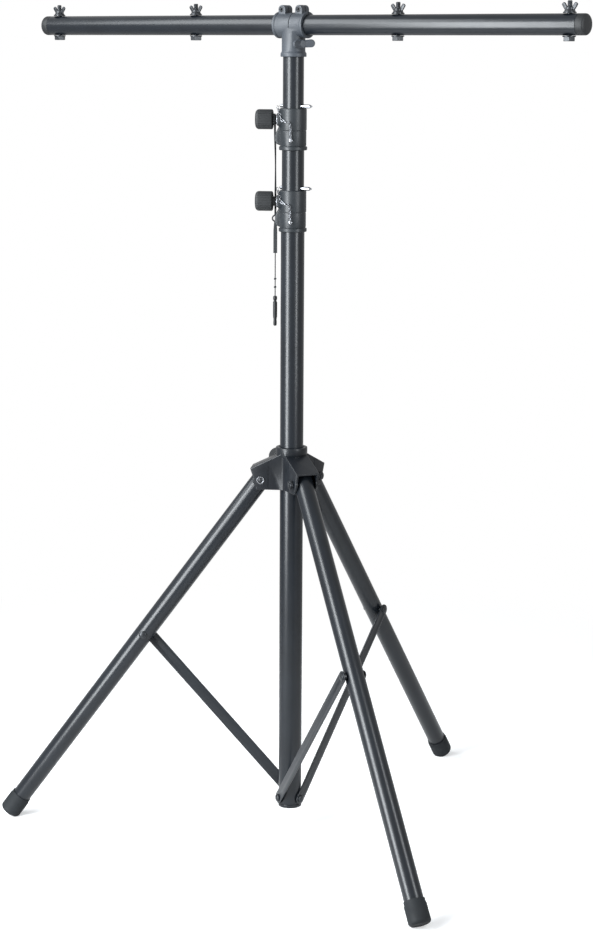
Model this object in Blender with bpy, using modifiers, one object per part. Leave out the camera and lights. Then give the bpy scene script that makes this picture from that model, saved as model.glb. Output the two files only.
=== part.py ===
"""Telescopic lighting stand: tripod, three-stage mast and T-bar.

Metres, +Z up. The crossbar lies along X and the mast stands on the line
x = 0, y = MAST_Y, so that the origin is under the middle of the whole stand.
"""
import math

import bmesh
import bpy
from mathutils import Matrix, Vector

for old in list(bpy.data.objects):
    bpy.data.objects.remove(old, do_unlink=True)

# Clearances
GAP = 0.0003
SLIDE_GAP = 0.0003

# Sides of the round pieces: tubes with what fits them, and small bolts
ROUND = 20
SMALL = 12
HOLE = 10

# Mast tubes, from the top tube outwards
TOP_R = 0.0175
TUBE_WALL = 0.0009
MID_R = TOP_R + SLIDE_GAP + TUBE_WALL
LOW_R = MID_R + SLIDE_GAP + TUBE_WALL
LOW_BOTTOM = 0.0460
MID_BOTTOM = 0.1000
TOP_BOTTOM = 0.1350
MAST_TRAVEL = 0.84
HOLE_PITCH = 0.14
BUSH_SPIGOT = 0.018
BUSH_FLANGE = 0.005
BUSH_WALL = 0.0020

# Base plug in the foot of the lower tube
BASE_BOTTOM = 0.0400
BASE_LIP = 0.0006
BASE_PLUG_TOP = 0.0850
BASE_PIVOT_Z = 0.0560
BASE_BOLT_R = 0.0030
BASE_BOLT_INNER = 0.0065
BASE_HEAD_R = 0.0068
BASE_HEAD_H = 0.0038

# Tripod geometry
LEG_NAMES = ("back", "left", "front")
LEG_AZIMUTHS = (90.0, 210.0, 330.0)
HUB_PIVOT_R = 0.0510
HUB_PIVOT_Z = 0.6270
LEG_ANGLE = math.radians(36.25)
LEG_R = 0.0162
LEG_WALL = 0.0012
LEG_TOP_END = 0.0130
STRUT_PIVOT_ALONG = 0.3495
STRUT_WIDTH = 0.0200
STRUT_THICK = 0.0025
STRUT_GAP = 0.0008
STRUT_BOLT_R = 0.0030
STRUT_HEAD_R = 0.0070
STRUT_HEAD_H = 0.0035
SPACER_R = 0.0060
RIVET_HEAD_R = 0.0062
RIVET_HEAD_H = 0.0026

# Rubber feet
FOOT_R = 0.0186
FOOT_EDGE = 0.0060
FOOT_FLAT_DEPTH = 0.0013
FOOT_LENGTH = 0.0400
FOOT_TUBE_END = 0.0070

# Leg hub
HUB_BOTTOM = 0.6105
HUB_TOP = 0.6830
HUB_RING_LOW = 0.6665
HUB_RING_R = 0.0270
HUB_SLEEVE_R = 0.0250
HUB_BUSH_WALL = 0.0014
EAR_THICK = 0.0036
EAR_GAP = 0.0008
EAR_PAD = 0.0008
EAR_PAD_START = -0.0130
EAR_PAD_INSET = 0.0010
EAR_TOP_OUT = (0.0180, 0.0200)
EAR_NOSE_R = 0.0138
EAR_LOW_OUT = 0.0068
ROOF_START = (-0.0240, 0.0400)
ROOF_THICK = 0.0030
POCKET_START = 0.0290
PIVOT_BOLT_R = 0.0040
PIVOT_RING_R = 0.0066
PIVOT_HEAD_H = 0.0030
PIVOT_NUT_R = 0.0075
PIVOT_NUT_H = 0.0060

# Collars with their knobs
COLLAR_WALL = 0.0024
COLLAR_GRIP = 0.0350
COLLAR_LIP = 0.0025
COLLAR_BEAD = 0.0010
COLLAR_UP_DROP = 0.2045
COLLAR_PITCH = 0.1355
COLLAR_HEIGHT = 0.0690
COLLAR_KNOB_DROP = 0.0185
COLLAR_RIVET_RISE = 0.0165
COLLAR_RIVET_AZIMUTH = 296.0
BOSS_R = 0.0125
BOSS_FACE = 0.0245
KNOB_AZIMUTH = 210.0
KNOB_R = 0.0165
KNOB_FLUTES = 12
KNOB_FLUTE_DEPTH = 0.0006
KNOB_EDGE = 0.0060
KNOB_START = 0.0340
KNOB_END = 0.0630
KNOB_NECK_R = 0.0080
KNOB_SCREW_R = 0.0040
WASHER_R = 0.0105
WASHER_THICK = 0.0022
HUB_KNOB_AZIMUTH = 150.0
HUB_KNOB_Z = 0.6560
HUB_KNOB_SCALE = 0.91
HUB_KNOB_START = 0.0425
HUB_BOSS_R = 0.0085
HUB_BOSS_FACE = 0.0330

# Safety pins and their chains
PIN_R = 0.00315
PIN_TAIL = 0.0345
PIN_TIP = 0.0390
PIN_NOSE = 0.0055
PIN_HEAD_R = 0.0046
PIN_HEAD = 0.0024
PIN_HOLE_R = 0.0038
CHAIN_R = 0.0014
CHAIN_START_R = 0.0300
CHAIN_SLACK = 0.0008
RIVET_R = 0.0034

# T-bar
BAR_Z = 1.3900
BAR_R = 0.0165
BAR_WALL = 0.0012
BAR_HALF = 0.5450
CAP_RIM = 0.0110
CAP_DOME = 0.0045
CAP_PLUG = 0.0110
COUPLER_HALF = 0.0300
COUPLER_WALL = 0.0035
FLANGE_R = 0.0216
FLANGE_WIDTH = 0.0040
SOCKET_R = 0.0196
SOCKET_DROP = 0.0515
SOCKET_BEAD_R = 0.0216
SOCKET_BEAD = 0.0070
SPLIT_WIDTH = 0.0016
CROSS_SLIT = 0.0012
LUG_X = 0.0170
LUG_HALF_X = 0.0071
LUG_HALF_Y = 0.0105
LUG_SCREW_RISE = 0.0253
CLAMP_SCREW_R = 0.0025
CLAMP_HEAD_R = 0.0042
CLAMP_HEAD_H = 0.0042
CLAMP_SINK = 0.0048
WING_SCREW_AZIMUTH = 330.0
WING_SCREW_DROP = 0.0305
WING_SCREW_TILT = math.radians(4)
WING_BOSS_R = 0.0080
WING_BOSS_FACE = 0.0225
WING_HUB_R = 0.0062
WING_REACH = 0.0360
WING_FLARE = math.radians(20)
WING_SPAN = 0.0390
WING_HEIGHT = 0.0130
WING_THICK = 0.0040

# Fixture bolts on the bar
BOLT_END = 0.0280
BOLT_PITCH = 0.3110
BOLT_R = 0.0040
BOLT_FLANGE_R = 0.0104
BOLT_WASHER_H = 0.0020
BOLT_HEAD_R = 0.0098
BOLT_HEAD_H = 0.0064
BOLT_STUD_RISE = 0.0170
NUT_BASE_R = 0.0088
NUT_TOP_R = 0.0066
NUT_H = 0.0090
NUT_WING_SPAN = 0.0290
NUT_WING_TOP = 0.0176
NUT_WING_THICK = 0.0030

# Strap
STRAP_WIDTH = 0.0034
STRAP_THICK = 0.0012
STRAP_U = 0.0305
STRAP_T = -0.0102
TAIL_WIDTH = 0.0065
RING_DROP = 0.1650
TAIL_LENGTH = 0.0585
RING_R = 0.0050
RING_WIRE = 0.0025
CORD_R = 0.0010
CORD_LENGTH = 0.0721
KNOT_DROPS = (0.0435, 0.0575)
KNOT_R = 0.0019
KNOT_HALF = 0.0017
TOGGLE_R = 0.0036
TOGGLE_LENGTH = 0.0510

# Derived places
COLLAR_UP_BOTTOM = BAR_Z - COLLAR_UP_DROP
COLLAR_LOW_BOTTOM = COLLAR_UP_BOTTOM - COLLAR_PITCH
SOCKET_BOTTOM = BAR_Z - SOCKET_DROP
WING_SCREW_Z = BAR_Z - WING_SCREW_DROP
BOLT_OUTER = BAR_HALF - BOLT_END
BOLT_INNER = BOLT_OUTER - BOLT_PITCH
BOLT_X = (-BOLT_OUTER, -BOLT_INNER, BOLT_INNER, BOLT_OUTER)
COLLAR_R = LOW_R + GAP + COLLAR_WALL
WASHER_FACE = BOSS_FACE + GAP + WASHER_THICK
LOW_TOP = COLLAR_LOW_BOTTOM + COLLAR_GRIP
MID_TOP = COLLAR_UP_BOTTOM + COLLAR_GRIP
COLLAR_LOW_TOP = COLLAR_LOW_BOTTOM + COLLAR_HEIGHT
COLLAR_UP_TOP = COLLAR_UP_BOTTOM + COLLAR_HEIGHT
PIN_LOW_Z = COLLAR_LOW_TOP + GAP + PIN_R
PIN_UP_Z = COLLAR_UP_TOP + GAP + PIN_R
LOW_KNOB_Z = COLLAR_LOW_TOP - COLLAR_KNOB_DROP
UP_KNOB_Z = COLLAR_UP_TOP - COLLAR_KNOB_DROP
RING_Z = UP_KNOB_Z - RING_DROP
TAIL_BOTTOM = RING_Z - TAIL_LENGTH
CORD_BOTTOM = TAIL_BOTTOM - CORD_LENGTH
TOP_TOP = BAR_Z - BAR_R - COUPLER_WALL - GAP
STRUT_IN = LOW_R + STRUT_GAP
STRUT_OUT = STRUT_IN + STRUT_THICK
SPACER_END = STRUT_IN - GAP
EAR_IN = LEG_R + EAR_GAP
EAR_OUT = EAR_IN + EAR_THICK
HUB_BORE = LOW_R + GAP + HUB_BUSH_WALL + GAP
SIN_LEG = math.sin(LEG_ANGLE)
COS_LEG = math.cos(LEG_ANGLE)
FOOT_FLAT_R = FOOT_R - FOOT_EDGE
LEG_END = (
    HUB_PIVOT_Z + FOOT_FLAT_DEPTH - FOOT_EDGE - FOOT_FLAT_R * SIN_LEG
) / COS_LEG + FOOT_EDGE
STRUT_PIVOT_R = HUB_PIVOT_R + STRUT_PIVOT_ALONG * SIN_LEG
STRUT_PIVOT_Z = HUB_PIVOT_Z - STRUT_PIVOT_ALONG * COS_LEG
STRUT_LENGTH = math.hypot(STRUT_PIVOT_R, STRUT_PIVOT_Z - BASE_PIVOT_Z)
STRUT_ANGLE = math.atan2(STRUT_PIVOT_R, STRUT_PIVOT_Z - BASE_PIVOT_Z)


def foot_reach(share):
    """How far a foot reaches along a level direction that has this share of the leg's own."""
    centre = HUB_PIVOT_R + (LEG_END - FOOT_EDGE) * SIN_LEG
    disc = FOOT_FLAT_R * math.sqrt(1 - (share * SIN_LEG) ** 2)
    return share * centre + disc + FOOT_EDGE


MAST_Y = (foot_reach(0.5) - foot_reach(1.0)) / 2


def new_collection(name):
    made = bpy.data.collections.new(name)
    bpy.context.scene.collection.children.link(made)
    return made


PARTS = new_collection("light_stand")
CUTTERS = new_collection("cutters")


def new_material(name, colour, roughness, metallic):
    made = bpy.data.materials.new(name)
    made.use_nodes = True
    shader = made.node_tree.nodes["Principled BSDF"]
    shader.inputs["Base Color"].default_value = (*colour, 1)
    shader.inputs["Roughness"].default_value = roughness
    shader.inputs["Metallic"].default_value = metallic
    made.diffuse_color = (*colour, 1)
    return made


# Helpers for placing and shaping

def empty(name, matrix, parent=None):
    made = bpy.data.objects.new(name, None)
    made.empty_display_size = 0.02
    PARTS.objects.link(made)
    made.parent = parent
    made.matrix_basis = matrix
    return made


def shift(x, y, z):
    return Matrix.Translation((x, y, z))


def turn(degrees, axis):
    return Matrix.Rotation(math.radians(degrees), 4, axis)


def radial(azimuth, height):
    """Local Z points out from the mast at this azimuth, and local X points down."""
    return shift(0, 0, height) @ turn(azimuth, "Z") @ turn(90, "Y")


def smooth(mesh, degrees=35):
    mesh.shade_smooth()
    mesh.set_sharp_from_angle(angle=math.radians(degrees))


def place(name, mesh, finish, matrix, parent, cutter=False):
    """Link a mesh as a node, or as a hidden cutter when it has no finish."""
    made = bpy.data.objects.new(name, mesh)
    (CUTTERS if cutter else PARTS).objects.link(made)
    made.parent = parent
    made.matrix_basis = matrix
    if cutter:
        made.hide_render = True
        made.display_type = "WIRE"
    else:
        colour, roughness, metallic = finish
        mesh.materials.clear()
        mesh.materials.append(new_material(name, colour, roughness, metallic))
    return made


def baked(maker):
    """The mesh of a temporary object, with its modifiers or curve made real."""
    PARTS.objects.link(maker)
    bpy.context.view_layer.update()
    graph = bpy.context.evaluated_depsgraph_get()
    mesh = bpy.data.meshes.new_from_object(maker.evaluated_get(graph))
    bpy.data.objects.remove(maker, do_unlink=True)
    shape = bmesh.new()
    shape.from_mesh(mesh)
    bmesh.ops.remove_doubles(shape, verts=shape.verts, dist=0.000005)
    bmesh.ops.recalc_face_normals(shape, faces=shape.faces)
    shape.to_mesh(mesh)
    shape.free()
    return mesh


def turned(profile, steps=ROUND, closed=False):
    """A profile of (radius, z) points, top to bottom on its outer side, screwed round Z."""
    mesh = bpy.data.meshes.new("profile")
    points = [(radius, 0, z) for radius, z in profile]
    edges = [(n, n + 1) for n in range(len(points) - 1)]
    if closed:
        edges.append((len(points) - 1, 0))
    mesh.from_pydata(points, edges, [])
    maker = bpy.data.objects.new("profile", mesh)
    screw = maker.modifiers.new("Screw", "SCREW")
    screw.steps = steps
    screw.render_steps = steps
    screw.use_merge_vertices = True
    screw.merge_threshold = 0.00001
    made = baked(maker)
    smooth(made)
    return made


def sleeve(outer, inner, low, high, steps=ROUND):
    return turned([(outer, high), (outer, low), (inner, low), (inner, high)], steps, closed=True)


def rod(radius, low, high, steps=SMALL, edge=0.0):
    """A plain round bar along Z, with both rims chamfered by edge."""
    if edge == 0:
        return turned([(0, high), (radius, high), (radius, low), (0, low)], steps)
    return turned([
        (0, high), (radius - edge, high), (radius, high - edge),
        (radius, low + edge), (radius - edge, low), (0, low),
    ], steps)


def plate(outline, thickness, holes=()):
    """A flat outline in XY, made thick by half each way along Z, with outlines for its holes."""
    curve = bpy.data.curves.new("outline", "CURVE")
    curve.dimensions = "2D"
    curve.fill_mode = "BOTH"
    curve.extrude = thickness / 2
    for loop in (outline, *holes):
        spline = curve.splines.new("POLY")
        spline.points.add(len(loop) - 1)
        for point, (x, y) in zip(spline.points, loop):
            point.co = (x, y, 0, 1)
        spline.use_cyclic_u = True
    made = baked(bpy.data.objects.new("outline", curve))
    smooth(made)
    return made


def arc(centre, radius, start, end, count):
    """Points on an arc, in degrees, both ends included."""
    angles = [math.radians(start + (end - start) * n / (count - 1)) for n in range(count)]
    return [(centre[0] + radius * math.cos(a), centre[1] + radius * math.sin(a)) for a in angles]


def circle(centre, radius, count=HOLE):
    return arc(centre, radius, 0, 360 - 360 / count, count)


def box(size, centre=(0, 0, 0)):
    shape = bmesh.new()
    bmesh.ops.create_cube(shape, size=1, matrix=Matrix.Translation(centre) @ Matrix.Diagonal((*size, 1)))
    mesh = bpy.data.meshes.new("box")
    shape.to_mesh(mesh)
    shape.free()
    return mesh


def hexagon(radius, low, high):
    shape = bmesh.new()
    bmesh.ops.create_cone(
        shape, cap_ends=True, segments=6, radius1=radius, radius2=radius, depth=high - low,
        matrix=shift(0, 0, (low + high) / 2),
    )
    mesh = bpy.data.meshes.new("hexagon")
    shape.to_mesh(mesh)
    shape.free()
    return mesh


def group(pieces):
    """One mesh from several, each given with the matrix that places it."""
    shape = bmesh.new()
    for mesh, matrix in pieces:
        part = bmesh.new()
        part.from_mesh(mesh)
        bmesh.ops.transform(part, matrix=matrix, verts=part.verts)
        moved = bpy.data.meshes.new("moved")
        part.to_mesh(moved)
        part.free()
        shape.from_mesh(moved)
    mesh = bpy.data.meshes.new("group")
    shape.to_mesh(mesh)
    shape.free()
    smooth(mesh)
    return mesh


def fused(mesh, changes):
    """A mesh after Booleans with other meshes, each given with its matrix and operation."""
    maker = bpy.data.objects.new("maker", mesh)
    helpers = []
    for other, matrix, operation in changes:
        helper = place("helper", other, None, matrix, None, cutter=True)
        change = maker.modifiers.new(operation.title(), "BOOLEAN")
        change.operation = operation
        change.solver = "EXACT"
        change.object = helper
        helpers.append(helper)
    made = baked(maker)
    for helper in helpers:
        bpy.data.objects.remove(helper, do_unlink=True)
    smooth(made)
    return made


def combine(made, mesh, matrix, operation):
    """Join a mesh to a node, or cut it away, with a Boolean on a hidden body."""
    other = place(made.name + "_" + operation.lower(), mesh, None, matrix, made.parent, cutter=True)
    change = made.modifiers.new(operation.title(), "BOOLEAN")
    change.operation = operation
    change.solver = "EXACT"
    change.object = other


def join(made, mesh, matrix):
    combine(made, mesh, matrix, "UNION")


def cut(made, mesh, matrix):
    combine(made, mesh, matrix, "DIFFERENCE")


# Finishes: colour, roughness, metallic
BLACK_STEEL = ((0.020, 0.024, 0.030), 0.34, 0.35)
CAST_GREY = ((0.060, 0.068, 0.080), 0.45, 0.20)
BLACK_CAST = ((0.016, 0.019, 0.024), 0.42, 0.10)
BLACK_PLASTIC = ((0.022, 0.024, 0.026), 0.50, 0.0)
BLACK_RUBBER = ((0.018, 0.019, 0.021), 0.75, 0.0)
CHROME = ((0.62, 0.63, 0.64), 0.16, 1.0)
BLACK_ZINC = ((0.030, 0.033, 0.038), 0.32, 0.80)
NYLON = ((0.030, 0.030, 0.032), 0.55, 0.0)
WEBBING = ((0.014, 0.015, 0.017), 0.85, 0.0)

STAND = empty("mast_axis", shift(0, MAST_Y, 0))
SIDEWAYS = turn(90, "X")
ALONG_X = turn(90, "Y")


# Mast

def foot_bush(tube_r, bottom):
    """The nylon bush in the foot of a sliding tube: a flange below and a spigot inside."""
    spigot_r = tube_r - TUBE_WALL - GAP
    bore = spigot_r - BUSH_WALL
    seat = bottom - GAP
    return turned([
        (spigot_r, bottom + BUSH_SPIGOT), (spigot_r, seat), (tube_r, seat),
        (tube_r, seat - BUSH_FLANGE), (bore, seat - BUSH_FLANGE), (bore, bottom + BUSH_SPIGOT),
    ], closed=True)


def make_mast_tubes():
    low = place("mast_lower_tube", sleeve(LOW_R, LOW_R - TUBE_WALL, LOW_BOTTOM, LOW_TOP),
                BLACK_STEEL, Matrix(), STAND)
    for azimuth in LEG_AZIMUTHS:
        cut(low, rod(BASE_BOLT_R + GAP, LOW_R / 2, LOW_R * 1.5, HOLE), radial(azimuth - 90, BASE_PIVOT_Z))
    mid = place("mast_mid_tube", sleeve(MID_R, MID_R - TUBE_WALL, MID_BOTTOM, MID_TOP),
                BLACK_STEEL, Matrix(), STAND)
    top = place("mast_top_tube", sleeve(TOP_R, TOP_R - TUBE_WALL, TOP_BOTTOM, TOP_TOP),
                BLACK_STEEL, Matrix(), STAND)
    hole = rod(PIN_HOLE_R, -2 * LOW_R, 2 * LOW_R, 8)
    steps = round(MAST_TRAVEL / HOLE_PITCH) + 1
    row = [(hole, shift(0, 0, PIN_LOW_Z - n * HOLE_PITCH) @ ALONG_X) for n in range(steps)]
    cut(mid, group(row), Matrix())
    cut(top, group(row + [(hole, shift(0, 0, PIN_UP_Z) @ ALONG_X)]), Matrix())
    place("mast_mid_foot_bush", foot_bush(MID_R, MID_BOTTOM), NYLON, Matrix(), STAND)
    place("mast_top_foot_bush", foot_bush(TOP_R, TOP_BOTTOM), NYLON, Matrix(), STAND)


def make_base():
    plug_r = LOW_R - TUBE_WALL - GAP
    lip_r = LOW_R + BASE_LIP
    plug = place("base_plug", turned([
        (0, BASE_PLUG_TOP), (plug_r - 0.001, BASE_PLUG_TOP), (plug_r, BASE_PLUG_TOP - 0.001),
        (plug_r, LOW_BOTTOM - GAP), (lip_r, LOW_BOTTOM - GAP), (lip_r, BASE_BOTTOM + 0.0015),
        (lip_r - 0.0015, BASE_BOTTOM), (0, BASE_BOTTOM),
    ]), BLACK_CAST, Matrix(), STAND)
    head = STRUT_OUT + GAP
    bolt = turned([
        (0, head + BASE_HEAD_H), (BASE_HEAD_R * 0.6, head + BASE_HEAD_H),
        (BASE_HEAD_R, head + BASE_HEAD_H / 2),
        (BASE_HEAD_R, head), (BASE_BOLT_R, head), (BASE_BOLT_R, BASE_BOLT_INNER), (0, BASE_BOLT_INNER),
    ], 10)
    for name, azimuth in zip(LEG_NAMES, LEG_AZIMUTHS):
        spot = radial(azimuth - 90, BASE_PIVOT_Z)
        cut(plug, rod(BASE_BOLT_R + GAP, BASE_BOLT_INNER - GAP, LOW_R * 1.5, HOLE), spot)
        place("strut_" + name + "_base_bolt", bolt.copy(), BLACK_ZINC, spot, STAND)


# Collars, knobs, pins and chains

def make_collar(prefix, tube_r, inner_r, bottom):
    """A collar that grips the top of one tube and clamps the tube that slides in it."""
    top = bottom + COLLAR_HEIGHT
    knob_z = top - COLLAR_KNOB_DROP
    bore = tube_r + GAP
    mouth = inner_r + 2 * SLIDE_GAP
    bead = COLLAR_R + COLLAR_BEAD
    collar = place(prefix + "_collar", turned([
        (0, top), (COLLAR_R - 0.0008, top), (COLLAR_R, top - 0.0012), (COLLAR_R, bottom + 0.0065),
        (bead, bottom + 0.0055), (bead, bottom + 0.001), (COLLAR_R, bottom), (0, bottom),
    ]), BLACK_CAST, Matrix(), STAND)
    boss = rod(BOSS_R, COLLAR_R * 0.7, BOSS_FACE, 16, 0.0008)
    join(collar, boss, radial(KNOB_AZIMUTH, knob_z))
    rib = plate([
        (COLLAR_R * 0.8, bottom + 0.006), (BOSS_FACE + 0.003, bottom + 0.010),
        (BOSS_FACE + 0.0055, bottom + 0.015), (BOSS_FACE + 0.0055, bottom + 0.026),
        (BOSS_FACE, knob_z - 0.013), (COLLAR_R * 0.8, knob_z - 0.010),
    ], 0.0085)
    join(collar, rib, turn(KNOB_AZIMUTH, "Z") @ SIDEWAYS)
    cut(collar, rod(bore, bottom - 0.01, top - COLLAR_LIP, ROUND), Matrix())
    cut(collar, rod(mouth, bottom - 0.02, top + 0.01, ROUND), Matrix())
    screw_hole = rod(KNOB_SCREW_R + GAP, inner_r * 0.7, BOSS_FACE + 0.01, HOLE)
    cut(collar, screw_hole, radial(KNOB_AZIMUTH, knob_z))
    rivet_place = radial(COLLAR_RIVET_AZIMUTH, bottom + COLLAR_RIVET_RISE)
    bush = place(prefix + "_collar_bush",
                 sleeve(tube_r, inner_r + SLIDE_GAP, bottom + COLLAR_GRIP + GAP, top - COLLAR_LIP - GAP),
                 NYLON, Matrix(), STAND)
    cut(bush, screw_hole, radial(KNOB_AZIMUTH, knob_z))
    join(collar, turned([
        (0, COLLAR_R + 0.0025), (RIVET_R * 0.6, COLLAR_R + 0.0023), (RIVET_R, COLLAR_R + 0.0012),
        (RIVET_R, COLLAR_R * 0.95), (0, COLLAR_R * 0.95),
    ], 8), rivet_place)
    make_chain(prefix, bottom)


def knob_body(start, end, radius, neck_start, tip):
    """A fluted knob along Z with a narrow neck towards the mast and its moulded-in screw."""
    rim = arc((radius - KNOB_EDGE, end - KNOB_EDGE), KNOB_EDGE, 90, 0, 4)
    shape = turned([
        (0, end), *rim, (radius, start + 0.0012), (radius - 0.0012, start),
        (KNOB_NECK_R, start), (KNOB_NECK_R, neck_start), (0, neck_start),
    ], 2 * KNOB_FLUTES)
    count = 2 * KNOB_FLUTES
    depths = [radius - KNOB_FLUTE_DEPTH * (n % 2) for n in range(count)]
    outline = [
        (depth * math.cos(2 * math.pi * n / count), depth * math.sin(2 * math.pi * n / count))
        for n, depth in enumerate(depths)
    ]
    return fused(shape, [
        (plate(outline, 4 * end), Matrix(), "INTERSECT"),
        (rod(KNOB_SCREW_R, tip, start, HOLE, 0.0008), Matrix(), "UNION"),
    ])


def make_knob(prefix, matrix, face, tube_r, start, length, radius):
    """A knob on one boss: face is the boss's or its washer's, tube_r the clamped tube's."""
    body = knob_body(start, start + length, radius, face + GAP, tube_r + GAP)
    place(prefix + "_knob", body, BLACK_PLASTIC, matrix, STAND)


def make_washer(prefix, matrix):
    washer = sleeve(WASHER_R, KNOB_SCREW_R + GAP, BOSS_FACE + GAP, WASHER_FACE, 16)
    place(prefix + "_knob_washer", washer, CHROME, matrix, STAND)


def make_pin(name, height):
    place(name, turned([
        (0, PIN_TIP), (PIN_R * 0.4, PIN_TIP - 0.0008), (PIN_R, PIN_TIP - PIN_NOSE),
        (PIN_R, PIN_HEAD - PIN_TAIL), (PIN_HEAD_R, PIN_HEAD - PIN_TAIL), (PIN_HEAD_R, -PIN_TAIL),
        (0, -PIN_TAIL),
    ], 10), CHROME, shift(0, 0, height) @ ALONG_X, STAND)


def smooth_route(route, step):
    """Points every step along a smooth curve through the route's own points."""
    points = [Vector(point) for point in route]
    ends = [2 * points[0] - points[1], *points, 2 * points[-1] - points[-2]]
    found = []
    for before, first, second, after in zip(ends, ends[1:], ends[2:], ends[3:]):
        count = max(1, round((second - first).length / step))
        for n in range(count):
            t = n / count
            found.append(0.5 * (
                2 * first + (second - before) * t
                + (2 * before - 5 * first + 4 * second - after) * t ** 2
                + (3 * first - before - 3 * second + after) * t ** 3
            ))
    return [*found, points[-1]]


def make_chain(prefix, bottom):
    """The chain from below the pin's tail, over the knob's boss, to its rivet on the collar."""
    top = bottom + COLLAR_HEIGHT
    knob_z = top - COLLAR_KNOB_DROP
    side_r = COLLAR_R + CHAIN_R + GAP
    boss_reach = BOSS_R + CHAIN_R + CHAIN_SLACK

    def over_boss(turned_by):
        """A point that rests on the boss, this many degrees past its middle."""
        across = side_r * math.sin(math.radians(turned_by))
        return KNOB_AZIMUTH + turned_by, side_r, knob_z + math.sqrt(boss_reach ** 2 - across ** 2)

    route = [
        (180, CHAIN_START_R, top - CHAIN_R - GAP),
        (193, (CHAIN_START_R + side_r) / 2, top - CHAIN_R - 2 * CHAIN_SLACK),
        over_boss(-5), over_boss(8), over_boss(20), over_boss(30),
        (252, side_r, top - 0.0180), (267, side_r, top - 0.0215), (284, side_r, top - 0.0228),
        (294, side_r, top - 0.0280),
        (COLLAR_RIVET_AZIMUTH, side_r, bottom + COLLAR_RIVET_RISE + RIVET_R + GAP),
    ]
    points = [(r * math.cos(math.radians(a)), r * math.sin(math.radians(a)), z) for a, r, z in route]
    made = cord_tube(smooth_route(points, 4.0 * CHAIN_R), CHAIN_R)
    place(prefix + "_safety_chain", made, CHROME, Matrix(), STAND)


# Strap that hangs from the upper knob

def ribbon(route, width, thick):
    """Flat webbing down a route of points, with its width along X."""
    section = bpy.data.curves.new("section", "CURVE")
    section.dimensions = "2D"
    edge = section.splines.new("POLY")
    edge.points.add(3)
    corners = ((-1, -1), (1, -1), (1, 1), (-1, 1))
    for point, (x, y) in zip(edge.points, corners):
        point.co = (x * width / 2, y * thick / 2, 0, 1)
    edge.use_cyclic_u = True
    guide = bpy.data.objects.new("section", section)
    CUTTERS.objects.link(guide)
    curve = bpy.data.curves.new("ribbon", "CURVE")
    curve.dimensions = "3D"
    curve.twist_mode = "MINIMUM"
    curve.bevel_mode = "OBJECT"
    curve.bevel_object = guide
    curve.use_fill_caps = True
    spline = curve.splines.new("POLY")
    spline.points.add(len(route) - 1)
    for point, place_at in zip(spline.points, route):
        point.co = (*place_at, 1)
    made = baked(bpy.data.objects.new("ribbon", curve))
    bpy.data.objects.remove(guide, do_unlink=True)
    return made


def cord_tube(route, radius):
    curve = bpy.data.curves.new("cord", "CURVE")
    curve.dimensions = "3D"
    curve.bevel_depth = radius
    curve.bevel_resolution = 2
    curve.use_fill_caps = True
    spline = curve.splines.new("POLY")
    spline.points.add(len(route) - 1)
    for point, place_at in zip(spline.points, route):
        point.co = (*place_at, 1)
    made = baked(bpy.data.objects.new("cord", curve))
    smooth(made)
    return made


def make_strap():
    """A loop round the upper knob's neck, webbing, a ring, its tail, a knotted cord and a toggle."""
    loop_in = KNOB_NECK_R + GAP
    loop_r = loop_in + STRAP_THICK / 2
    loop_end = KNOB_START - CHAIN_SLACK
    loop_u = loop_end - STRAP_WIDTH / 2
    upper = [
        (loop_u, -loop_r, UP_KNOB_Z), (loop_u, -loop_r, UP_KNOB_Z - 0.012),
        (loop_u, -loop_r - 0.0005, UP_KNOB_Z - 0.024),
        (STRAP_U + 0.0003, STRAP_T, UP_KNOB_Z - 0.055), (STRAP_U, STRAP_T, UP_KNOB_Z - 0.085),
        (STRAP_U, STRAP_T, RING_Z + RING_R),
    ]
    bpy.ops.mesh.primitive_torus_add(
        major_radius=RING_R, minor_radius=RING_WIRE / 2, major_segments=14, minor_segments=6,
    )
    maker = bpy.context.object
    ring = maker.data
    bpy.data.objects.remove(maker, do_unlink=True)
    tail = [(STRAP_U, STRAP_T, RING_Z - RING_R), (STRAP_U, STRAP_T, TAIL_BOTTOM)]
    loop = sleeve(loop_in + STRAP_THICK, loop_in, loop_end - STRAP_WIDTH, loop_end, SMALL)
    strap = fused(ribbon(upper, STRAP_WIDTH, STRAP_THICK), [
        (loop, shift(0, 0, UP_KNOB_Z) @ ALONG_X, "UNION"),
        (ring, shift(STRAP_U, STRAP_T, RING_Z) @ SIDEWAYS, "UNION"),
        (ribbon(tail, TAIL_WIDTH, STRAP_THICK), Matrix(), "UNION"),
    ])
    knob_side = turn(KNOB_AZIMUTH, "Z")
    place("strap", strap, WEBBING, knob_side, STAND)
    make_cord(knob_side @ shift(STRAP_U, STRAP_T, 0))


def make_cord(at_strap):
    """The knotted cord below the strap, turned as one profile, and the toggle on its end."""
    top = TAIL_BOTTOM - GAP
    profile = [(0, top), (CORD_R, top)]
    for drop in KNOT_DROPS:
        swell = ((CORD_R, 2), (KNOT_R, 1), (KNOT_R, -1), (CORD_R, -2))
        profile += [(r, TAIL_BOTTOM - drop + share * KNOT_HALF) for r, share in swell]
    profile += [(CORD_R, CORD_BOTTOM), (0, CORD_BOTTOM)]
    place("strap_cord", turned(profile, 8), WEBBING, at_strap, STAND)
    toggle_top = CORD_BOTTOM - GAP
    outline = [
        (0, 0), (0.66, 0), (0.94, 0.0012), (0.94, 0.0060), (0.66, 0.0075), (0.66, 0.0092),
        (1.00, 0.0105), (1.00, 0.0350), (0.72, 0.0400), (0.83, 0.0480), (0.61, TOGGLE_LENGTH),
        (0, TOGGLE_LENGTH),
    ]
    place("strap_toggle", turned([(r * TOGGLE_R, toggle_top - drop) for r, drop in outline], 10),
          BLACK_PLASTIC, at_strap, STAND)


# Tripod

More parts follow.
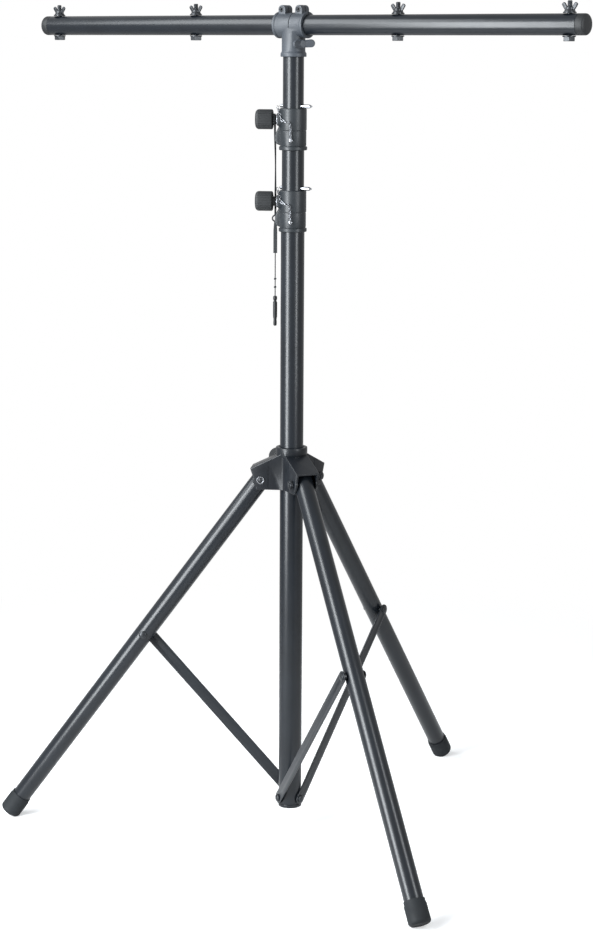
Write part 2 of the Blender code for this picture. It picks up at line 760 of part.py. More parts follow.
def make_hub():
    pivot_low = HUB_BOTTOM - HUB_PIVOT_Z
    ear_face = EAR_OUT + EAR_PAD
    hub = place("leg_hub", turned([
        (0, HUB_TOP), (HUB_RING_R - 0.0020, HUB_TOP), (HUB_RING_R, HUB_TOP - 0.0020),
        (HUB_RING_R, HUB_RING_LOW + 0.0040), (HUB_RING_R - 0.0010, HUB_RING_LOW + 0.0022),
        (HUB_SLEEVE_R, HUB_RING_LOW), (HUB_SLEEVE_R, HUB_BOTTOM - 0.0045), (0, HUB_BOTTOM - 0.0045),
    ]), BLACK_CAST, Matrix(), STAND)
    slope = (EAR_TOP_OUT[1] - ROOF_START[1]) / (EAR_TOP_OUT[0] - ROOF_START[0])

    def roof(x, drop=0.0):
        return ROOF_START[1] + slope * (x - ROOF_START[0]) - drop

    def ear(start, inset, low):
        """The side outline of a bracket outwards of start, drawn in by inset all round."""
        nose = arc((0, 0), EAR_NOSE_R - inset, -52, 18, 5)
        tip = EAR_TOP_OUT[0] - inset
        top = inset * math.hypot(1, slope)
        peak = [(tip, roof(tip, top)), (start, roof(start, top))]
        return [(start, low), (EAR_LOW_OUT - inset, low), *nose, *peak]

    block = plate(ear(0.010 - HUB_PIVOT_R, 0, pivot_low - 0.01), 2 * EAR_OUT)
    pad = plate(ear(EAR_PAD_START, EAR_PAD_INSET, pivot_low + EAR_PAD_INSET), 2 * ear_face)
    roof_drop = ROOF_THICK * math.hypot(1, slope)
    wall = POCKET_START - HUB_PIVOT_R
    far = EAR_TOP_OUT[0] + 0.02
    pocket = plate([
        (wall, pivot_low - 0.02), (far, pivot_low - 0.02), (far, roof(far, roof_drop)),
        (wall, roof(wall, roof_drop)),
    ], 2 * EAR_IN)
    bolt_hole = rod(PIVOT_BOLT_R + GAP, -2 * ear_face, 2 * ear_face, HOLE)
    at_pivot = shift(HUB_PIVOT_R, 0, HUB_PIVOT_Z) @ SIDEWAYS
    spots = [turn(azimuth, "Z") @ at_pivot for azimuth in LEG_AZIMUTHS]
    for spot in spots:
        join(hub, block, spot)
        join(hub, pad, spot)
    cut(hub, box((0.3, 0.3, 0.1), (0, 0, HUB_BOTTOM - 0.05)), Matrix())
    knob_spot = radial(HUB_KNOB_AZIMUTH, HUB_KNOB_Z)
    join(hub, rod(HUB_BOSS_R, HUB_SLEEVE_R * 0.9, HUB_BOSS_FACE, 14, 0.0006), knob_spot)
    cut(hub, group([(pocket, spot) for spot in spots]), Matrix())
    cut(hub, rod(HUB_BORE, HUB_BOTTOM - 0.03, HUB_TOP + 0.02, ROUND), Matrix())
    screw_hole = rod(KNOB_SCREW_R + GAP, LOW_R * 0.8, HUB_BOSS_FACE + 0.01, HOLE)
    cut(hub, screw_hole, knob_spot)
    cut(hub, group([(bolt_hole, spot) for spot in spots]), Matrix())
    bush = place("hub_bush", sleeve(HUB_BORE - GAP, LOW_R + SLIDE_GAP, HUB_BOTTOM + 0.0004, HUB_TOP - 0.0004),
                 NYLON, Matrix(), STAND)
    cut(bush, screw_hole, knob_spot)
    end = ear_face + GAP
    shank = turned([
        (0, end + PIVOT_NUT_H + 0.0015), (PIVOT_BOLT_R, end + PIVOT_NUT_H + 0.0015), (PIVOT_BOLT_R, -end),
        (PIVOT_RING_R, -end), (PIVOT_RING_R, -end - 0.0014), (PIVOT_RING_R * 0.66, -end - 0.0014),
        (PIVOT_RING_R * 0.35, -end - PIVOT_HEAD_H), (0, -end - PIVOT_HEAD_H),
    ], 12)
    bolt = fused(shank, [(hexagon(PIVOT_NUT_R, end, end + PIVOT_NUT_H), Matrix(), "UNION")])
    for name, spot in zip(LEG_NAMES, spots):
        place("hub_" + name + "_bolt", bolt.copy(), BLACK_ZINC, spot, STAND)


def make_leg(name, azimuth):
    """One leg, made along its own -Z from the hub's pivot, with its plug, foot and strut bolt."""
    root = empty("leg_" + name + "_side", turn(azimuth, "Z"), STAND)
    pivot = empty("leg_" + name + "_pivot",
                  shift(HUB_PIVOT_R, 0, HUB_PIVOT_Z) @ Matrix.Rotation(-LEG_ANGLE, 4, "Y"), root)
    inner = LEG_R - LEG_WALL
    tube_end = -(LEG_END - FOOT_TUBE_END)
    tube = place("leg_" + name + "_tube", sleeve(LEG_R, inner, tube_end, LEG_TOP_END),
                 BLACK_STEEL, Matrix(), pivot)
    across = 2 * LEG_R
    cut(tube, rod(PIVOT_BOLT_R + GAP, -across, across, HOLE), SIDEWAYS)
    cut(tube, rod(STRUT_BOLT_R + GAP, -across, across, HOLE), shift(0, 0, -STRUT_PIVOT_ALONG) @ SIDEWAYS)
    plug_r = inner - GAP
    cap = LEG_TOP_END + GAP
    plug = place("leg_" + name + "_plug", turned([
        (0, cap + 0.0024), (LEG_R - 0.0018, cap + 0.0022), (LEG_R - 0.0004, cap),
        (plug_r, cap), (plug_r, -0.0255), (0, -0.0255),
    ]), BLACK_PLASTIC, Matrix(), pivot)
    cut(plug, rod(PIVOT_BOLT_R + GAP, -across, across, HOLE), SIDEWAYS)
    edge = arc((FOOT_FLAT_R, -LEG_END + FOOT_EDGE), FOOT_EDGE, 0, -90, 4)
    collar = -LEG_END + FOOT_LENGTH
    socket = LEG_R + GAP
    foot = place("leg_" + name + "_foot", turned([
        (socket, collar), (FOOT_R - 0.0010, collar), (FOOT_R - 0.0008, collar - 0.0060),
        (FOOT_R, collar - 0.0075), *edge, (0, -LEG_END), (0, tube_end - GAP), (socket, tube_end - GAP),
    ], closed=True), BLACK_RUBBER, Matrix(), pivot)
    floor = box((0.2, 0.2, 0.1), (HUB_PIVOT_R + LEG_END * SIN_LEG, 0, -0.05))
    cut(foot, floor, pivot.matrix_basis.inverted())
    start = -(LEG_R + GAP)
    bolt = turned([
        (0, SPACER_END), (SPACER_R, SPACER_END), (SPACER_R, -start), (STRUT_BOLT_R, -start),
        (STRUT_BOLT_R, start), (STRUT_HEAD_R, start), (STRUT_HEAD_R, start - STRUT_HEAD_H / 2),
        (STRUT_HEAD_R * 0.6, start - STRUT_HEAD_H), (0, start - STRUT_HEAD_H),
    ], 12)
    place("leg_" + name + "_bolt", bolt, BLACK_ZINC, shift(0, 0, -STRUT_PIVOT_ALONG) @ SIDEWAYS, pivot)
    make_strut(name, root)


def make_strut(name, root):
    """A flat strut, made along its own Z from its base pivot, with the rivet at its leg end."""
    stance = shift(0, 0, BASE_PIVOT_Z) @ Matrix.Rotation(STRUT_ANGLE, 4, "Y")
    pivot = empty("strut_" + name + "_pivot", stance, root)
    half = STRUT_WIDTH / 2
    outline = arc((0, 0), half, 180, 360, 8) + arc((0, STRUT_LENGTH), half, 0, 180, 8)
    bar = plate(outline, STRUT_THICK, [circle((0, 0), BASE_BOLT_R + GAP)])
    middle = (STRUT_IN + STRUT_OUT) / 2
    head = STRUT_THICK / 2 + RIVET_HEAD_H
    rivet = turned([
        (0, head), (RIVET_HEAD_R * 0.55, head - RIVET_HEAD_H * 0.15),
        (RIVET_HEAD_R, STRUT_THICK / 2 + 0.0008),
        (RIVET_HEAD_R, 0), (0, 0),
    ], 12)
    strut = fused(bar, [(rivet, shift(0, STRUT_LENGTH, 0), "UNION")])
    place("strut_" + name, strut, BLACK_STEEL, SIDEWAYS @ shift(0, 0, middle), pivot)


# T-bar

def make_coupler():
    at_bar = shift(0, 0, BAR_Z)
    barrel_r = BAR_R + GAP + COUPLER_WALL
    side = [(FLANGE_R, COUPLER_HALF), (FLANGE_R, COUPLER_HALF - FLANGE_WIDTH),
            (barrel_r, COUPLER_HALF - FLANGE_WIDTH - 0.0008)]
    profile = [(0, COUPLER_HALF), *side, *[(r, -z) for r, z in reversed(side)], (0, -COUPLER_HALF)]
    coupler = place("t_coupler", turned(profile), CAST_GREY, at_bar @ ALONG_X, STAND)
    socket_top = BAR_Z + 0.0010
    join(coupler, turned([
        (0, socket_top), (SOCKET_R, socket_top), (SOCKET_R, SOCKET_BOTTOM + SOCKET_BEAD),
        (SOCKET_BEAD_R, SOCKET_BOTTOM + SOCKET_BEAD - 0.0014), (SOCKET_BEAD_R, SOCKET_BOTTOM + 0.0014),
        (SOCKET_BEAD_R - 0.0012, SOCKET_BOTTOM), (0, SOCKET_BOTTOM),
    ]), Matrix())
    lug_base = BAR_R + 0.001
    lug = plate(
        arc((0, LUG_SCREW_RISE), LUG_HALF_X, 0, 180, 8) + [(-LUG_HALF_X, lug_base), (LUG_HALF_X, lug_base)],
        2 * LUG_HALF_Y,
    )
    shank_hole = rod(CLAMP_SCREW_R + GAP, -2 * LUG_HALF_Y, 2 * LUG_HALF_Y, 10)
    head_hole = rod(CLAMP_HEAD_R + GAP, LUG_HALF_Y - CLAMP_SINK, 2 * LUG_HALF_Y, 12)
    lug_spots = [shift(x, 0, BAR_Z) @ SIDEWAYS for x in (-LUG_X, LUG_X)]
    for spot in lug_spots:
        join(coupler, lug, spot)
    wing_spot = radial(WING_SCREW_AZIMUTH, WING_SCREW_Z)
    join(coupler, rod(WING_BOSS_R, SOCKET_R * 0.8, WING_BOSS_FACE, 14, 0.0006), wing_spot)
    cut(coupler, rod(BAR_R + GAP, -2 * COUPLER_HALF, 2 * COUPLER_HALF, ROUND), at_bar @ ALONG_X)
    cut(coupler, rod(TOP_R + GAP, SOCKET_BOTTOM - 0.02, TOP_TOP + GAP, ROUND), Matrix())
    cut(coupler, rod(KNOB_SCREW_R + GAP, TOP_R * 0.7, WING_BOSS_FACE + 0.01, 10), wing_spot)
    split_top = LUG_SCREW_RISE + LUG_HALF_X + 0.01
    split = box((4 * COUPLER_HALF, SPLIT_WIDTH, split_top), (0, 0, BAR_Z + split_top / 2))
    cut(coupler, split, Matrix())
    slit = box((CROSS_SLIT, 4 * FLANGE_R, split_top), (0, 0, BAR_Z + 0.002 + split_top / 2))
    cut(coupler, slit, Matrix())
    for spot in lug_spots:
        screw_spot = spot @ shift(0, LUG_SCREW_RISE, 0)
        cut(coupler, shank_hole, screw_spot)
        cut(coupler, head_hole, screw_spot)
    for change in coupler.modifiers:
        # The exact solver leaves this mesh open at the crossing slits
        change.solver = "MANIFOLD"
    head = LUG_HALF_Y - CLAMP_SINK + GAP
    top = head + CLAMP_HEAD_H
    screw = turned([
        (0, top - 0.0022), (CLAMP_SCREW_R * 0.85, top - 0.0022), (CLAMP_SCREW_R * 0.85, top),
        (CLAMP_HEAD_R, top),
        (CLAMP_HEAD_R, head), (CLAMP_SCREW_R, head), (CLAMP_SCREW_R, 0.0005 - LUG_HALF_Y),
        (0, 0.0005 - LUG_HALF_Y),
    ], 10)
    for side, spot in zip(("left", "right"), lug_spots):
        place("clamp_screw_" + side, screw.copy(), BLACK_ZINC, spot @ shift(0, LUG_SCREW_RISE, 0), STAND)
    make_wing_screw(wing_spot)


def make_wing_screw(spot):
    """The screw with two wings that lean out, so that they clear the bar when they turn."""
    face = WING_BOSS_FACE + GAP
    end = WING_REACH + WING_THICK
    shank = turned([
        (0, end), (WING_HUB_R - 0.001, end), (WING_HUB_R, end - 0.001), (WING_HUB_R + 0.0008, face),
        (KNOB_SCREW_R, face), (KNOB_SCREW_R, TOP_R + GAP), (0, TOP_R + GAP),
    ], 12)
    half = WING_HEIGHT / 2
    reach = WING_SPAN / 2 / math.cos(WING_FLARE) - half
    blade = plate([(0, half), (0, -half), *arc((reach, 0), half, -90, 90, 6)], WING_THICK)
    level = shift(0, 0, WING_REACH) @ turn(90, "Z") @ Matrix.Rotation(WING_SCREW_TILT, 4, "Z")
    flare = Matrix.Rotation(-WING_FLARE, 4, "Y")
    place("coupler_wing_screw", fused(shank, [
        (blade, level @ flare, "UNION"), (blade, level @ turn(180, "Z") @ flare, "UNION"),
    ]), CAST_GREY, spot, STAND)


def make_crossbar():
    at_bar = shift(0, 0, BAR_Z)
    tube_half = BAR_HALF - CAP_RIM
    bar = place("crossbar_tube", sleeve(BAR_R, BAR_R - BAR_WALL, -tube_half, tube_half),
                BLACK_STEEL, at_bar @ ALONG_X, STAND)
    hole = rod(BOLT_R + GAP, BAR_Z - 2 * BAR_R, BAR_Z + 2 * BAR_R, SMALL)
    cut(bar, group([(hole, shift(x, 0, 0)) for x in BOLT_X]), Matrix())
    plug_r = BAR_R - BAR_WALL - GAP
    seat = tube_half + GAP
    cap = turned([
        (0, BAR_HALF + CAP_DOME), (BAR_R * 0.60, BAR_HALF + CAP_DOME * 0.86),
        (BAR_R * 0.90, BAR_HALF + CAP_DOME * 0.46), (BAR_R, BAR_HALF), (BAR_R, seat), (plug_r, seat),
        (plug_r, tube_half - CAP_PLUG), (0, tube_half - CAP_PLUG),
    ])
    for side, angle in (("left", -90), ("right", 90)):
        place("crossbar_cap_" + side, cap.copy(), BLACK_PLASTIC, at_bar @ turn(angle, "Y"), STAND)


def make_fixture_bolts():
    seat = BAR_R + GAP
    stud_top = seat + BOLT_WASHER_H + BOLT_STUD_RISE
    flange = -seat - BOLT_WASHER_H
    shank = turned([
        (0, stud_top), (BOLT_R - 0.0008, stud_top), (BOLT_R, stud_top - 0.0008), (BOLT_R, -seat),
        (BOLT_FLANGE_R, -seat), (BOLT_FLANGE_R, flange + 0.0004), (BOLT_FLANGE_R - 0.0004, flange),
        (0, flange),
    ], 12)
    head = hexagon(BOLT_HEAD_R, flange - BOLT_HEAD_H, -seat - BOLT_WASHER_H / 2)
    bolt = fused(shank, [(head, Matrix(), "UNION")])
    wing = [
        (0.30, 0.02), (0.60, 0.06), (0.98, 0.70), (1.00, 0.88), (0.90, 1.00), (0.76, 0.96),
        (0.50, 0.58), (0.30, 0.46),
    ]
    half = NUT_WING_SPAN / 2
    right = plate([(x * half, y * NUT_WING_TOP) for x, y in wing], NUT_WING_THICK)
    base = turned([
        (0, NUT_H), (NUT_TOP_R, NUT_H), (NUT_BASE_R, BOLT_WASHER_H + 0.0010), (NUT_BASE_R, BOLT_WASHER_H),
        (BOLT_FLANGE_R, BOLT_WASHER_H), (BOLT_FLANGE_R, 0), (0, 0),
    ], 12)
    nut = fused(base, [
        (right, SIDEWAYS, "UNION"),
        (right, turn(180, "Z") @ SIDEWAYS, "UNION"),
        (rod(BOLT_R + GAP, -0.01, 2 * NUT_WING_TOP, 12), Matrix(), "DIFFERENCE"),
    ])
    for number, x in enumerate(BOLT_X, 1):
        place("fixture_bolt_" + str(number), bolt.copy(), BLACK_ZINC, shift(x, 0, BAR_Z), STAND)
        place("wing_nut_" + str(number), nut.copy(), BLACK_ZINC, shift(x, 0, BAR_Z + seat), STAND)


make_mast_tubes()
make_base()
make_collar("lower", LOW_R, MID_R, COLLAR_LOW_BOTTOM)
make_collar("upper", MID_R, TOP_R, COLLAR_UP_BOTTOM)
KNOB_LENGTH = KNOB_END - KNOB_START
for prefix, knob_z, clamped_r in (("lower", LOW_KNOB_Z, MID_R), ("upper", UP_KNOB_Z, TOP_R)):
    knob_spot = radial(KNOB_AZIMUTH, knob_z)
    make_washer(prefix, knob_spot)
    make_knob(prefix, knob_spot, WASHER_FACE, clamped_r, KNOB_START, KNOB_LENGTH, KNOB_R)
make_knob("hub", radial(HUB_KNOB_AZIMUTH, HUB_KNOB_Z), HUB_BOSS_FACE, LOW_R,
          HUB_KNOB_START, KNOB_LENGTH * HUB_KNOB_SCALE, KNOB_R * HUB_KNOB_SCALE)
make_pin("lower_safety_pin", PIN_LOW_Z)
make_pin("upper_safety_pin", PIN_UP_Z)
make_strap()
make_hub()
for leg_name, leg_azimuth in zip(LEG_NAMES, LEG_AZIMUTHS):
    make_leg(leg_name, leg_azimuth)
make_coupler()
make_crossbar()
make_fixture_bolts()
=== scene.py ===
"""Looks of the lighting stand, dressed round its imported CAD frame.

Metres, +Z up. Each piece is made round the mast's axis and then moved with STAND.
"""
import math

import bmesh
import bpy
from mathutils import Matrix, Quaternion, Vector


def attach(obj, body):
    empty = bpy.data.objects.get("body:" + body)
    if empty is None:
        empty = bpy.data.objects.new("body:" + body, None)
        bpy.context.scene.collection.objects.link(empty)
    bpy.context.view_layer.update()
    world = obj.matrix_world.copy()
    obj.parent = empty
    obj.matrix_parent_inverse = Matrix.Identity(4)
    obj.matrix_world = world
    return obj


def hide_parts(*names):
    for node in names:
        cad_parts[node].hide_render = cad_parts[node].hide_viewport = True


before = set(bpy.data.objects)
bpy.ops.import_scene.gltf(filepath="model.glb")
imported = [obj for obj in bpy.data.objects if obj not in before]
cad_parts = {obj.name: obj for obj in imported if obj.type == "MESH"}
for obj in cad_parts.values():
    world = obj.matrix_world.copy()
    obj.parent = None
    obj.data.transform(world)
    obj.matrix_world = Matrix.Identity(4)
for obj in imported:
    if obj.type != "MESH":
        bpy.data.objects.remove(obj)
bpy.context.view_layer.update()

# Clearances
GAP = 0.0003
SLIDE_GAP = 0.0003

# Sides of the round pieces: tubes with what fits them, and small bolts
ROUND = 64
SMALL = 28
HOLE = 24

# Mast tubes, from the top tube outwards
TOP_R = 0.0175
TUBE_WALL = 0.0009
MID_R = TOP_R + SLIDE_GAP + TUBE_WALL
LOW_R = MID_R + SLIDE_GAP + TUBE_WALL
LOW_BOTTOM = 0.0460
MID_BOTTOM = 0.1000
TOP_BOTTOM = 0.1350
MAST_TRAVEL = 0.84
HOLE_PITCH = 0.14

# Base plug in the foot of the lower tube
BASE_BOTTOM = 0.0400
BASE_LIP = 0.0006
BASE_PLUG_TOP = 0.0850
BASE_PIVOT_Z = 0.0560
BASE_BOLT_R = 0.0030
BASE_BOLT_INNER = 0.0065
BASE_HEAD_R = 0.0068
BASE_HEAD_H = 0.0038

# Tripod geometry
LEG_NAMES = ("back", "left", "front")
LEG_AZIMUTHS = (90.0, 210.0, 330.0)
HUB_PIVOT_R = 0.0510
HUB_PIVOT_Z = 0.6270
LEG_ANGLE = math.radians(36.25)
LEG_R = 0.0162
LEG_WALL = 0.0012
LEG_TOP_END = 0.0130
LEG_PLUG_DEPTH = 0.0255
LEG_PLUG_RISE = 0.0024
STRUT_PIVOT_ALONG = 0.3495
STRUT_WIDTH = 0.0200
STRUT_THICK = 0.0025
STRUT_GAP = 0.0008
STRUT_BOLT_R = 0.0030
STRUT_HEAD_R = 0.0070
STRUT_HEAD_H = 0.0035
SPACER_R = 0.0060
RIVET_HEAD_R = 0.0062
RIVET_HEAD_H = 0.0026

# Rubber feet
FOOT_R = 0.0186
FOOT_EDGE = 0.0060
FOOT_FLAT_DEPTH = 0.0013
FOOT_LENGTH = 0.0400
FOOT_TUBE_END = 0.0070

# Leg hub
HUB_BOTTOM = 0.6105
HUB_TOP = 0.6830
HUB_RING_LOW = 0.6665
HUB_RING_R = 0.0270
HUB_SLEEVE_R = 0.0250
HUB_BUSH_WALL = 0.0014
EAR_THICK = 0.0036
EAR_GAP = 0.0008
EAR_PAD = 0.0008
EAR_PAD_START = -0.0130
EAR_PAD_INSET = 0.0010
EAR_TOP_OUT = (0.0180, 0.0200)
EAR_NOSE_R = 0.0138
EAR_NOSE_ARC = (-52, 18)
EAR_LOW_OUT = 0.0068
EAR_START_R = 0.0100
ROOF_START = (-0.0240, 0.0400)
ROOF_THICK = 0.0030
POCKET_START = 0.0290
PIVOT_BOLT_R = 0.0040
PIVOT_RING_R = 0.0066
PIVOT_HEAD_H = 0.0030
PIVOT_NUT_R = 0.0075
PIVOT_NUT_H = 0.0060
PIVOT_RIM_H = 0.0014
HEAD_SKIRT = 0.0006

# Collars with their knobs
COLLAR_WALL = 0.0024
COLLAR_GRIP = 0.0350
COLLAR_LIP = 0.0025
COLLAR_BEAD = 0.0010
COLLAR_SLIM = 0.0005
GROOVE_RISE = 0.0315
GROOVE_DEPTH = 0.0004
RIB_OUT = 0.0055
RIB_THICK = 0.0085
DIMPLE_AZIMUTH = 347.0
DIMPLE_DEPTH = 0.0012
COLLAR_UP_DROP = 0.2045
COLLAR_PITCH = 0.1355
COLLAR_HEIGHT = 0.0690
COLLAR_KNOB_DROP = 0.0185
COLLAR_RIVET_RISE = 0.0165
COLLAR_RIVET_AZIMUTH = 296.0
BOSS_R = 0.0125
BOSS_FACE = 0.0245
KNOB_AZIMUTH = 210.0
KNOB_R = 0.0165
KNOB_SIDES = 256
KNOB_FLUTES = 32
KNOB_FLUTE_DEPTH = 0.0005
KNOB_CUP = 0.0040
KNOB_DISH = 0.0006
KNOB_EDGE = 0.0060
KNOB_START = 0.0340
KNOB_END = 0.0630
KNOB_NECK_R = 0.0080
KNOB_SCREW_R = 0.0040
WASHER_R = 0.0105
WASHER_THICK = 0.0022
HUB_KNOB_AZIMUTH = 150.0
HUB_KNOB_Z = 0.6560
HUB_KNOB_SCALE = 0.91
HUB_KNOB_START = 0.0425
HUB_BOSS_R = 0.0085
HUB_BOSS_FACE = 0.0330

# Safety pins and their chains
PIN_R = 0.00315
PIN_TAIL = 0.0345
PIN_TIP = 0.0390
PIN_NOSE = 0.0055
PIN_FLAT_HALF = 0.0023
PIN_FLAT_LENGTH = 0.0110
PIN_FLAT_THICK = 0.0022
PIN_EYE_RISE = 0.0022
PIN_EYE_R = 0.0010
PIN_RING_R = 0.0028
PIN_RING_WIRE = 0.00045
PIN_HOLE_R = 0.0038
CHAIN_R = 0.0014
CHAIN_START_R = 0.0300
CHAIN_SLACK = 0.0008
LINK_WIRE = 0.00052
LINK_HALF = 0.00175
LINK_BEND = 0.00160
LINK_START = 0.0026
LINK_PITCH = 0.0056
RIVET_R = 0.0034
RIVET_DOME = 0.0016

# T-bar
BAR_Z = 1.3900
BAR_R = 0.0165
BAR_WALL = 0.0012
BAR_HALF = 0.5450
CAP_RIM = 0.0110
CAP_DOME = 0.0045
CAP_CURVE = ((0, 1), (0.60, 0.95), (0.84, 0.78), (0.96, 0.42), (1, 0))
CAP_PLUG = 0.0110
COUPLER_HALF = 0.0300
COUPLER_WALL = 0.0035
FLANGE_R = 0.0216
FLANGE_WIDTH = 0.0040
SOCKET_R = 0.0196
SOCKET_DROP = 0.0515
SOCKET_BEAD_R = 0.0216
SOCKET_BEAD = 0.0070
SPLIT_WIDTH = 0.0016
CROSS_SLIT = 0.0012
CROSS_SLIT_X = 0.0035
CROSS_SLIT_DROP = 0.0050
LUG_X = 0.0170
LUG_HALF_X = 0.0071
LUG_HALF_Y = 0.0105
LUG_SCREW_RISE = 0.0253
CLAMP_SCREW_R = 0.0025
CLAMP_HEAD_R = 0.0042
CLAMP_HEAD_H = 0.0042
CLAMP_SINK = 0.0048
CLAMP_SOCKET_R = 0.0023
CLAMP_SOCKET_DEPTH = 0.0022
WING_SCREW_AZIMUTH = 330.0
WING_SCREW_DROP = 0.0305
WING_SCREW_TILT = math.radians(4)
WING_BOSS_R = 0.0080
WING_BOSS_FACE = 0.0225
WING_HUB_R = 0.0062
WING_REACH = 0.0360
WING_FLARE = math.radians(20)
WING_SPAN = 0.0390
WING_HEIGHT = 0.0130
WING_THICK = 0.0040

# Fixture bolts on the bar
BOLT_END = 0.0280
BOLT_PITCH = 0.3110
BOLT_R = 0.0040
BOLT_FLANGE_R = 0.0104
BOLT_WASHER_H = 0.0020
BOLT_HEAD_R = 0.0098
BOLT_HEAD_H = 0.0064
BOLT_STUD_RISE = 0.0170
THREAD_STEPS = 24
THREAD_PITCH = 0.00125
THREAD_DEPTH = 0.0007
BOLT_LEAD_IN = 0.0008
NUT_BASE_R = 0.0088
NUT_TOP_R = 0.0066
NUT_H = 0.0090
NUT_WING_TOP = 0.0176
NUT_WING_THICK = 0.0030
NUT_WING_FOOT = (0.0040, 0.0038)
NUT_WING_TIP = (0.0119, 0.0156)
NUT_WING_HALF = 0.0031

# Strap
STRAP_WIDTH = 0.0034
STRAP_THICK = 0.0012
STRAP_U = 0.0305
STRAP_T = -0.0102
TAIL_WIDTH = 0.0065
RING_DROP = 0.1650
TAIL_LENGTH = 0.0585
TAIL_STEPS = 24
SEAM_R = 0.0003
SEAM_RISES = (0.0050, 0.0085)
FOLD_R = 0.0010
WEBBING_THICK = 0.0010
WEBBING_TWIST = -1.15
RING_R = 0.0050
RING_WIRE = 0.0025
CORD_R = 0.0010
CORD_LENGTH = 0.0721
CORD_TURNS = 13
CORD_STEPS = 120
KNOT_DROPS = (0.0435, 0.0575)
KNOT_R = 0.0019
KNOT_STRAND_R = 0.00082
TOGGLE_R = 0.0036
TOGGLE_LENGTH = 0.0510

# Derived places
COLLAR_UP_BOTTOM = BAR_Z - COLLAR_UP_DROP
COLLAR_LOW_BOTTOM = COLLAR_UP_BOTTOM - COLLAR_PITCH
SOCKET_BOTTOM = BAR_Z - SOCKET_DROP
WING_SCREW_Z = BAR_Z - WING_SCREW_DROP
BOLT_OUTER = BAR_HALF - BOLT_END
BOLT_INNER = BOLT_OUTER - BOLT_PITCH
BOLT_X = (-BOLT_OUTER, -BOLT_INNER, BOLT_INNER, BOLT_OUTER)
COLLAR_R = LOW_R + GAP + COLLAR_WALL
WASHER_FACE = BOSS_FACE + GAP + WASHER_THICK
LOW_TOP = COLLAR_LOW_BOTTOM + COLLAR_GRIP
MID_TOP = COLLAR_UP_BOTTOM + COLLAR_GRIP
COLLAR_LOW_TOP = COLLAR_LOW_BOTTOM + COLLAR_HEIGHT
COLLAR_UP_TOP = COLLAR_UP_BOTTOM + COLLAR_HEIGHT
PIN_LOW_Z = COLLAR_LOW_TOP + GAP + PIN_R
PIN_UP_Z = COLLAR_UP_TOP + GAP + PIN_R
LOW_KNOB_Z = COLLAR_LOW_TOP - COLLAR_KNOB_DROP
UP_KNOB_Z = COLLAR_UP_TOP - COLLAR_KNOB_DROP
RING_Z = UP_KNOB_Z - RING_DROP
TAIL_BOTTOM = RING_Z - TAIL_LENGTH
CORD_BOTTOM = TAIL_BOTTOM - CORD_LENGTH
TOP_TOP = BAR_Z - BAR_R - COUPLER_WALL - GAP
STRUT_IN = LOW_R + STRUT_GAP
STRUT_OUT = STRUT_IN + STRUT_THICK
SPACER_END = STRUT_IN - GAP
EAR_IN = LEG_R + EAR_GAP
EAR_OUT = EAR_IN + EAR_THICK
HUB_BORE = LOW_R + GAP + HUB_BUSH_WALL + GAP
SIN_LEG = math.sin(LEG_ANGLE)
COS_LEG = math.cos(LEG_ANGLE)
FOOT_FLAT_R = FOOT_R - FOOT_EDGE
LEG_END = (
    HUB_PIVOT_Z + FOOT_FLAT_DEPTH - FOOT_EDGE - FOOT_FLAT_R * SIN_LEG
) / COS_LEG + FOOT_EDGE
STRUT_PIVOT_R = HUB_PIVOT_R + STRUT_PIVOT_ALONG * SIN_LEG
STRUT_PIVOT_Z = HUB_PIVOT_Z - STRUT_PIVOT_ALONG * COS_LEG
STRUT_LENGTH = math.hypot(STRUT_PIVOT_R, STRUT_PIVOT_Z - BASE_PIVOT_Z)
STRUT_ANGLE = math.atan2(STRUT_PIVOT_R, STRUT_PIVOT_Z - BASE_PIVOT_Z)


def foot_reach(share):
    """How far a foot reaches along a level direction that has this share of the leg's own."""
    centre = HUB_PIVOT_R + (LEG_END - FOOT_EDGE) * SIN_LEG
    disc = FOOT_FLAT_R * math.sqrt(1 - (share * SIN_LEG) ** 2)
    return share * centre + disc + FOOT_EDGE


def shift(x, y, z):
    return Matrix.Translation((x, y, z))


def turn(degrees, axis):
    return Matrix.Rotation(math.radians(degrees), 4, axis)


def radial(azimuth, height):
    """Local Z points out from the mast at this azimuth, and local X points down."""
    return shift(0, 0, height) @ turn(azimuth, "Z") @ turn(90, "Y")


# What the pieces are placed with
MAST_Y = (foot_reach(0.5) - foot_reach(1.0)) / 2
STAND = shift(0, MAST_Y, 0)
SIDEWAYS = turn(90, "X")
ALONG_X = turn(90, "Y")
AT_BAR = shift(0, 0, BAR_Z)

# Edges sharper than this aren't smoothed
SHARP_ANGLE = math.radians(36)

# Rounding: the usual size, the angle from which a corner is left, and the most it takes of a side
EDGE = 0.0003
NEARLY_STRAIGHT = math.radians(150)
CORNER_SHARE = 0.45

SCENE = bpy.context.scene


def linked(name, data):
    """A new object of the scene."""
    made = bpy.data.objects.new(name, data)
    SCENE.collection.objects.link(made)
    return made


# Camera, at the photograph's place

CAMERA_TURN = 35.49
CAMERA_SPOT = (0.0360, -3.6994, 1.3506)
CAMERA_PITCH = 10.817
CAMERA_YAW = -0.425
CAMERA_ROLL = -0.306
FOCAL_PIXELS = 2196.2
PHOTO_HEIGHT = 938
SENSOR_WIDTH = 36


def make_camera():
    """The fitted camera. The fit has the mast at the origin and looks along +Y, turned from the row frame."""
    data = bpy.data.cameras.new("camera")
    data.sensor_width = SENSOR_WIDTH
    data.lens = FOCAL_PIXELS / PHOTO_HEIGHT * data.sensor_width
    made = linked("camera", data)
    aim = turn(-CAMERA_YAW, "Z") @ turn(90 - CAMERA_PITCH, "X") @ turn(-CAMERA_ROLL, "Z")
    made.matrix_world = STAND @ turn(CAMERA_TURN, "Z") @ shift(*CAMERA_SPOT) @ aim
    SCENE.camera = made


make_camera()


# Shapes

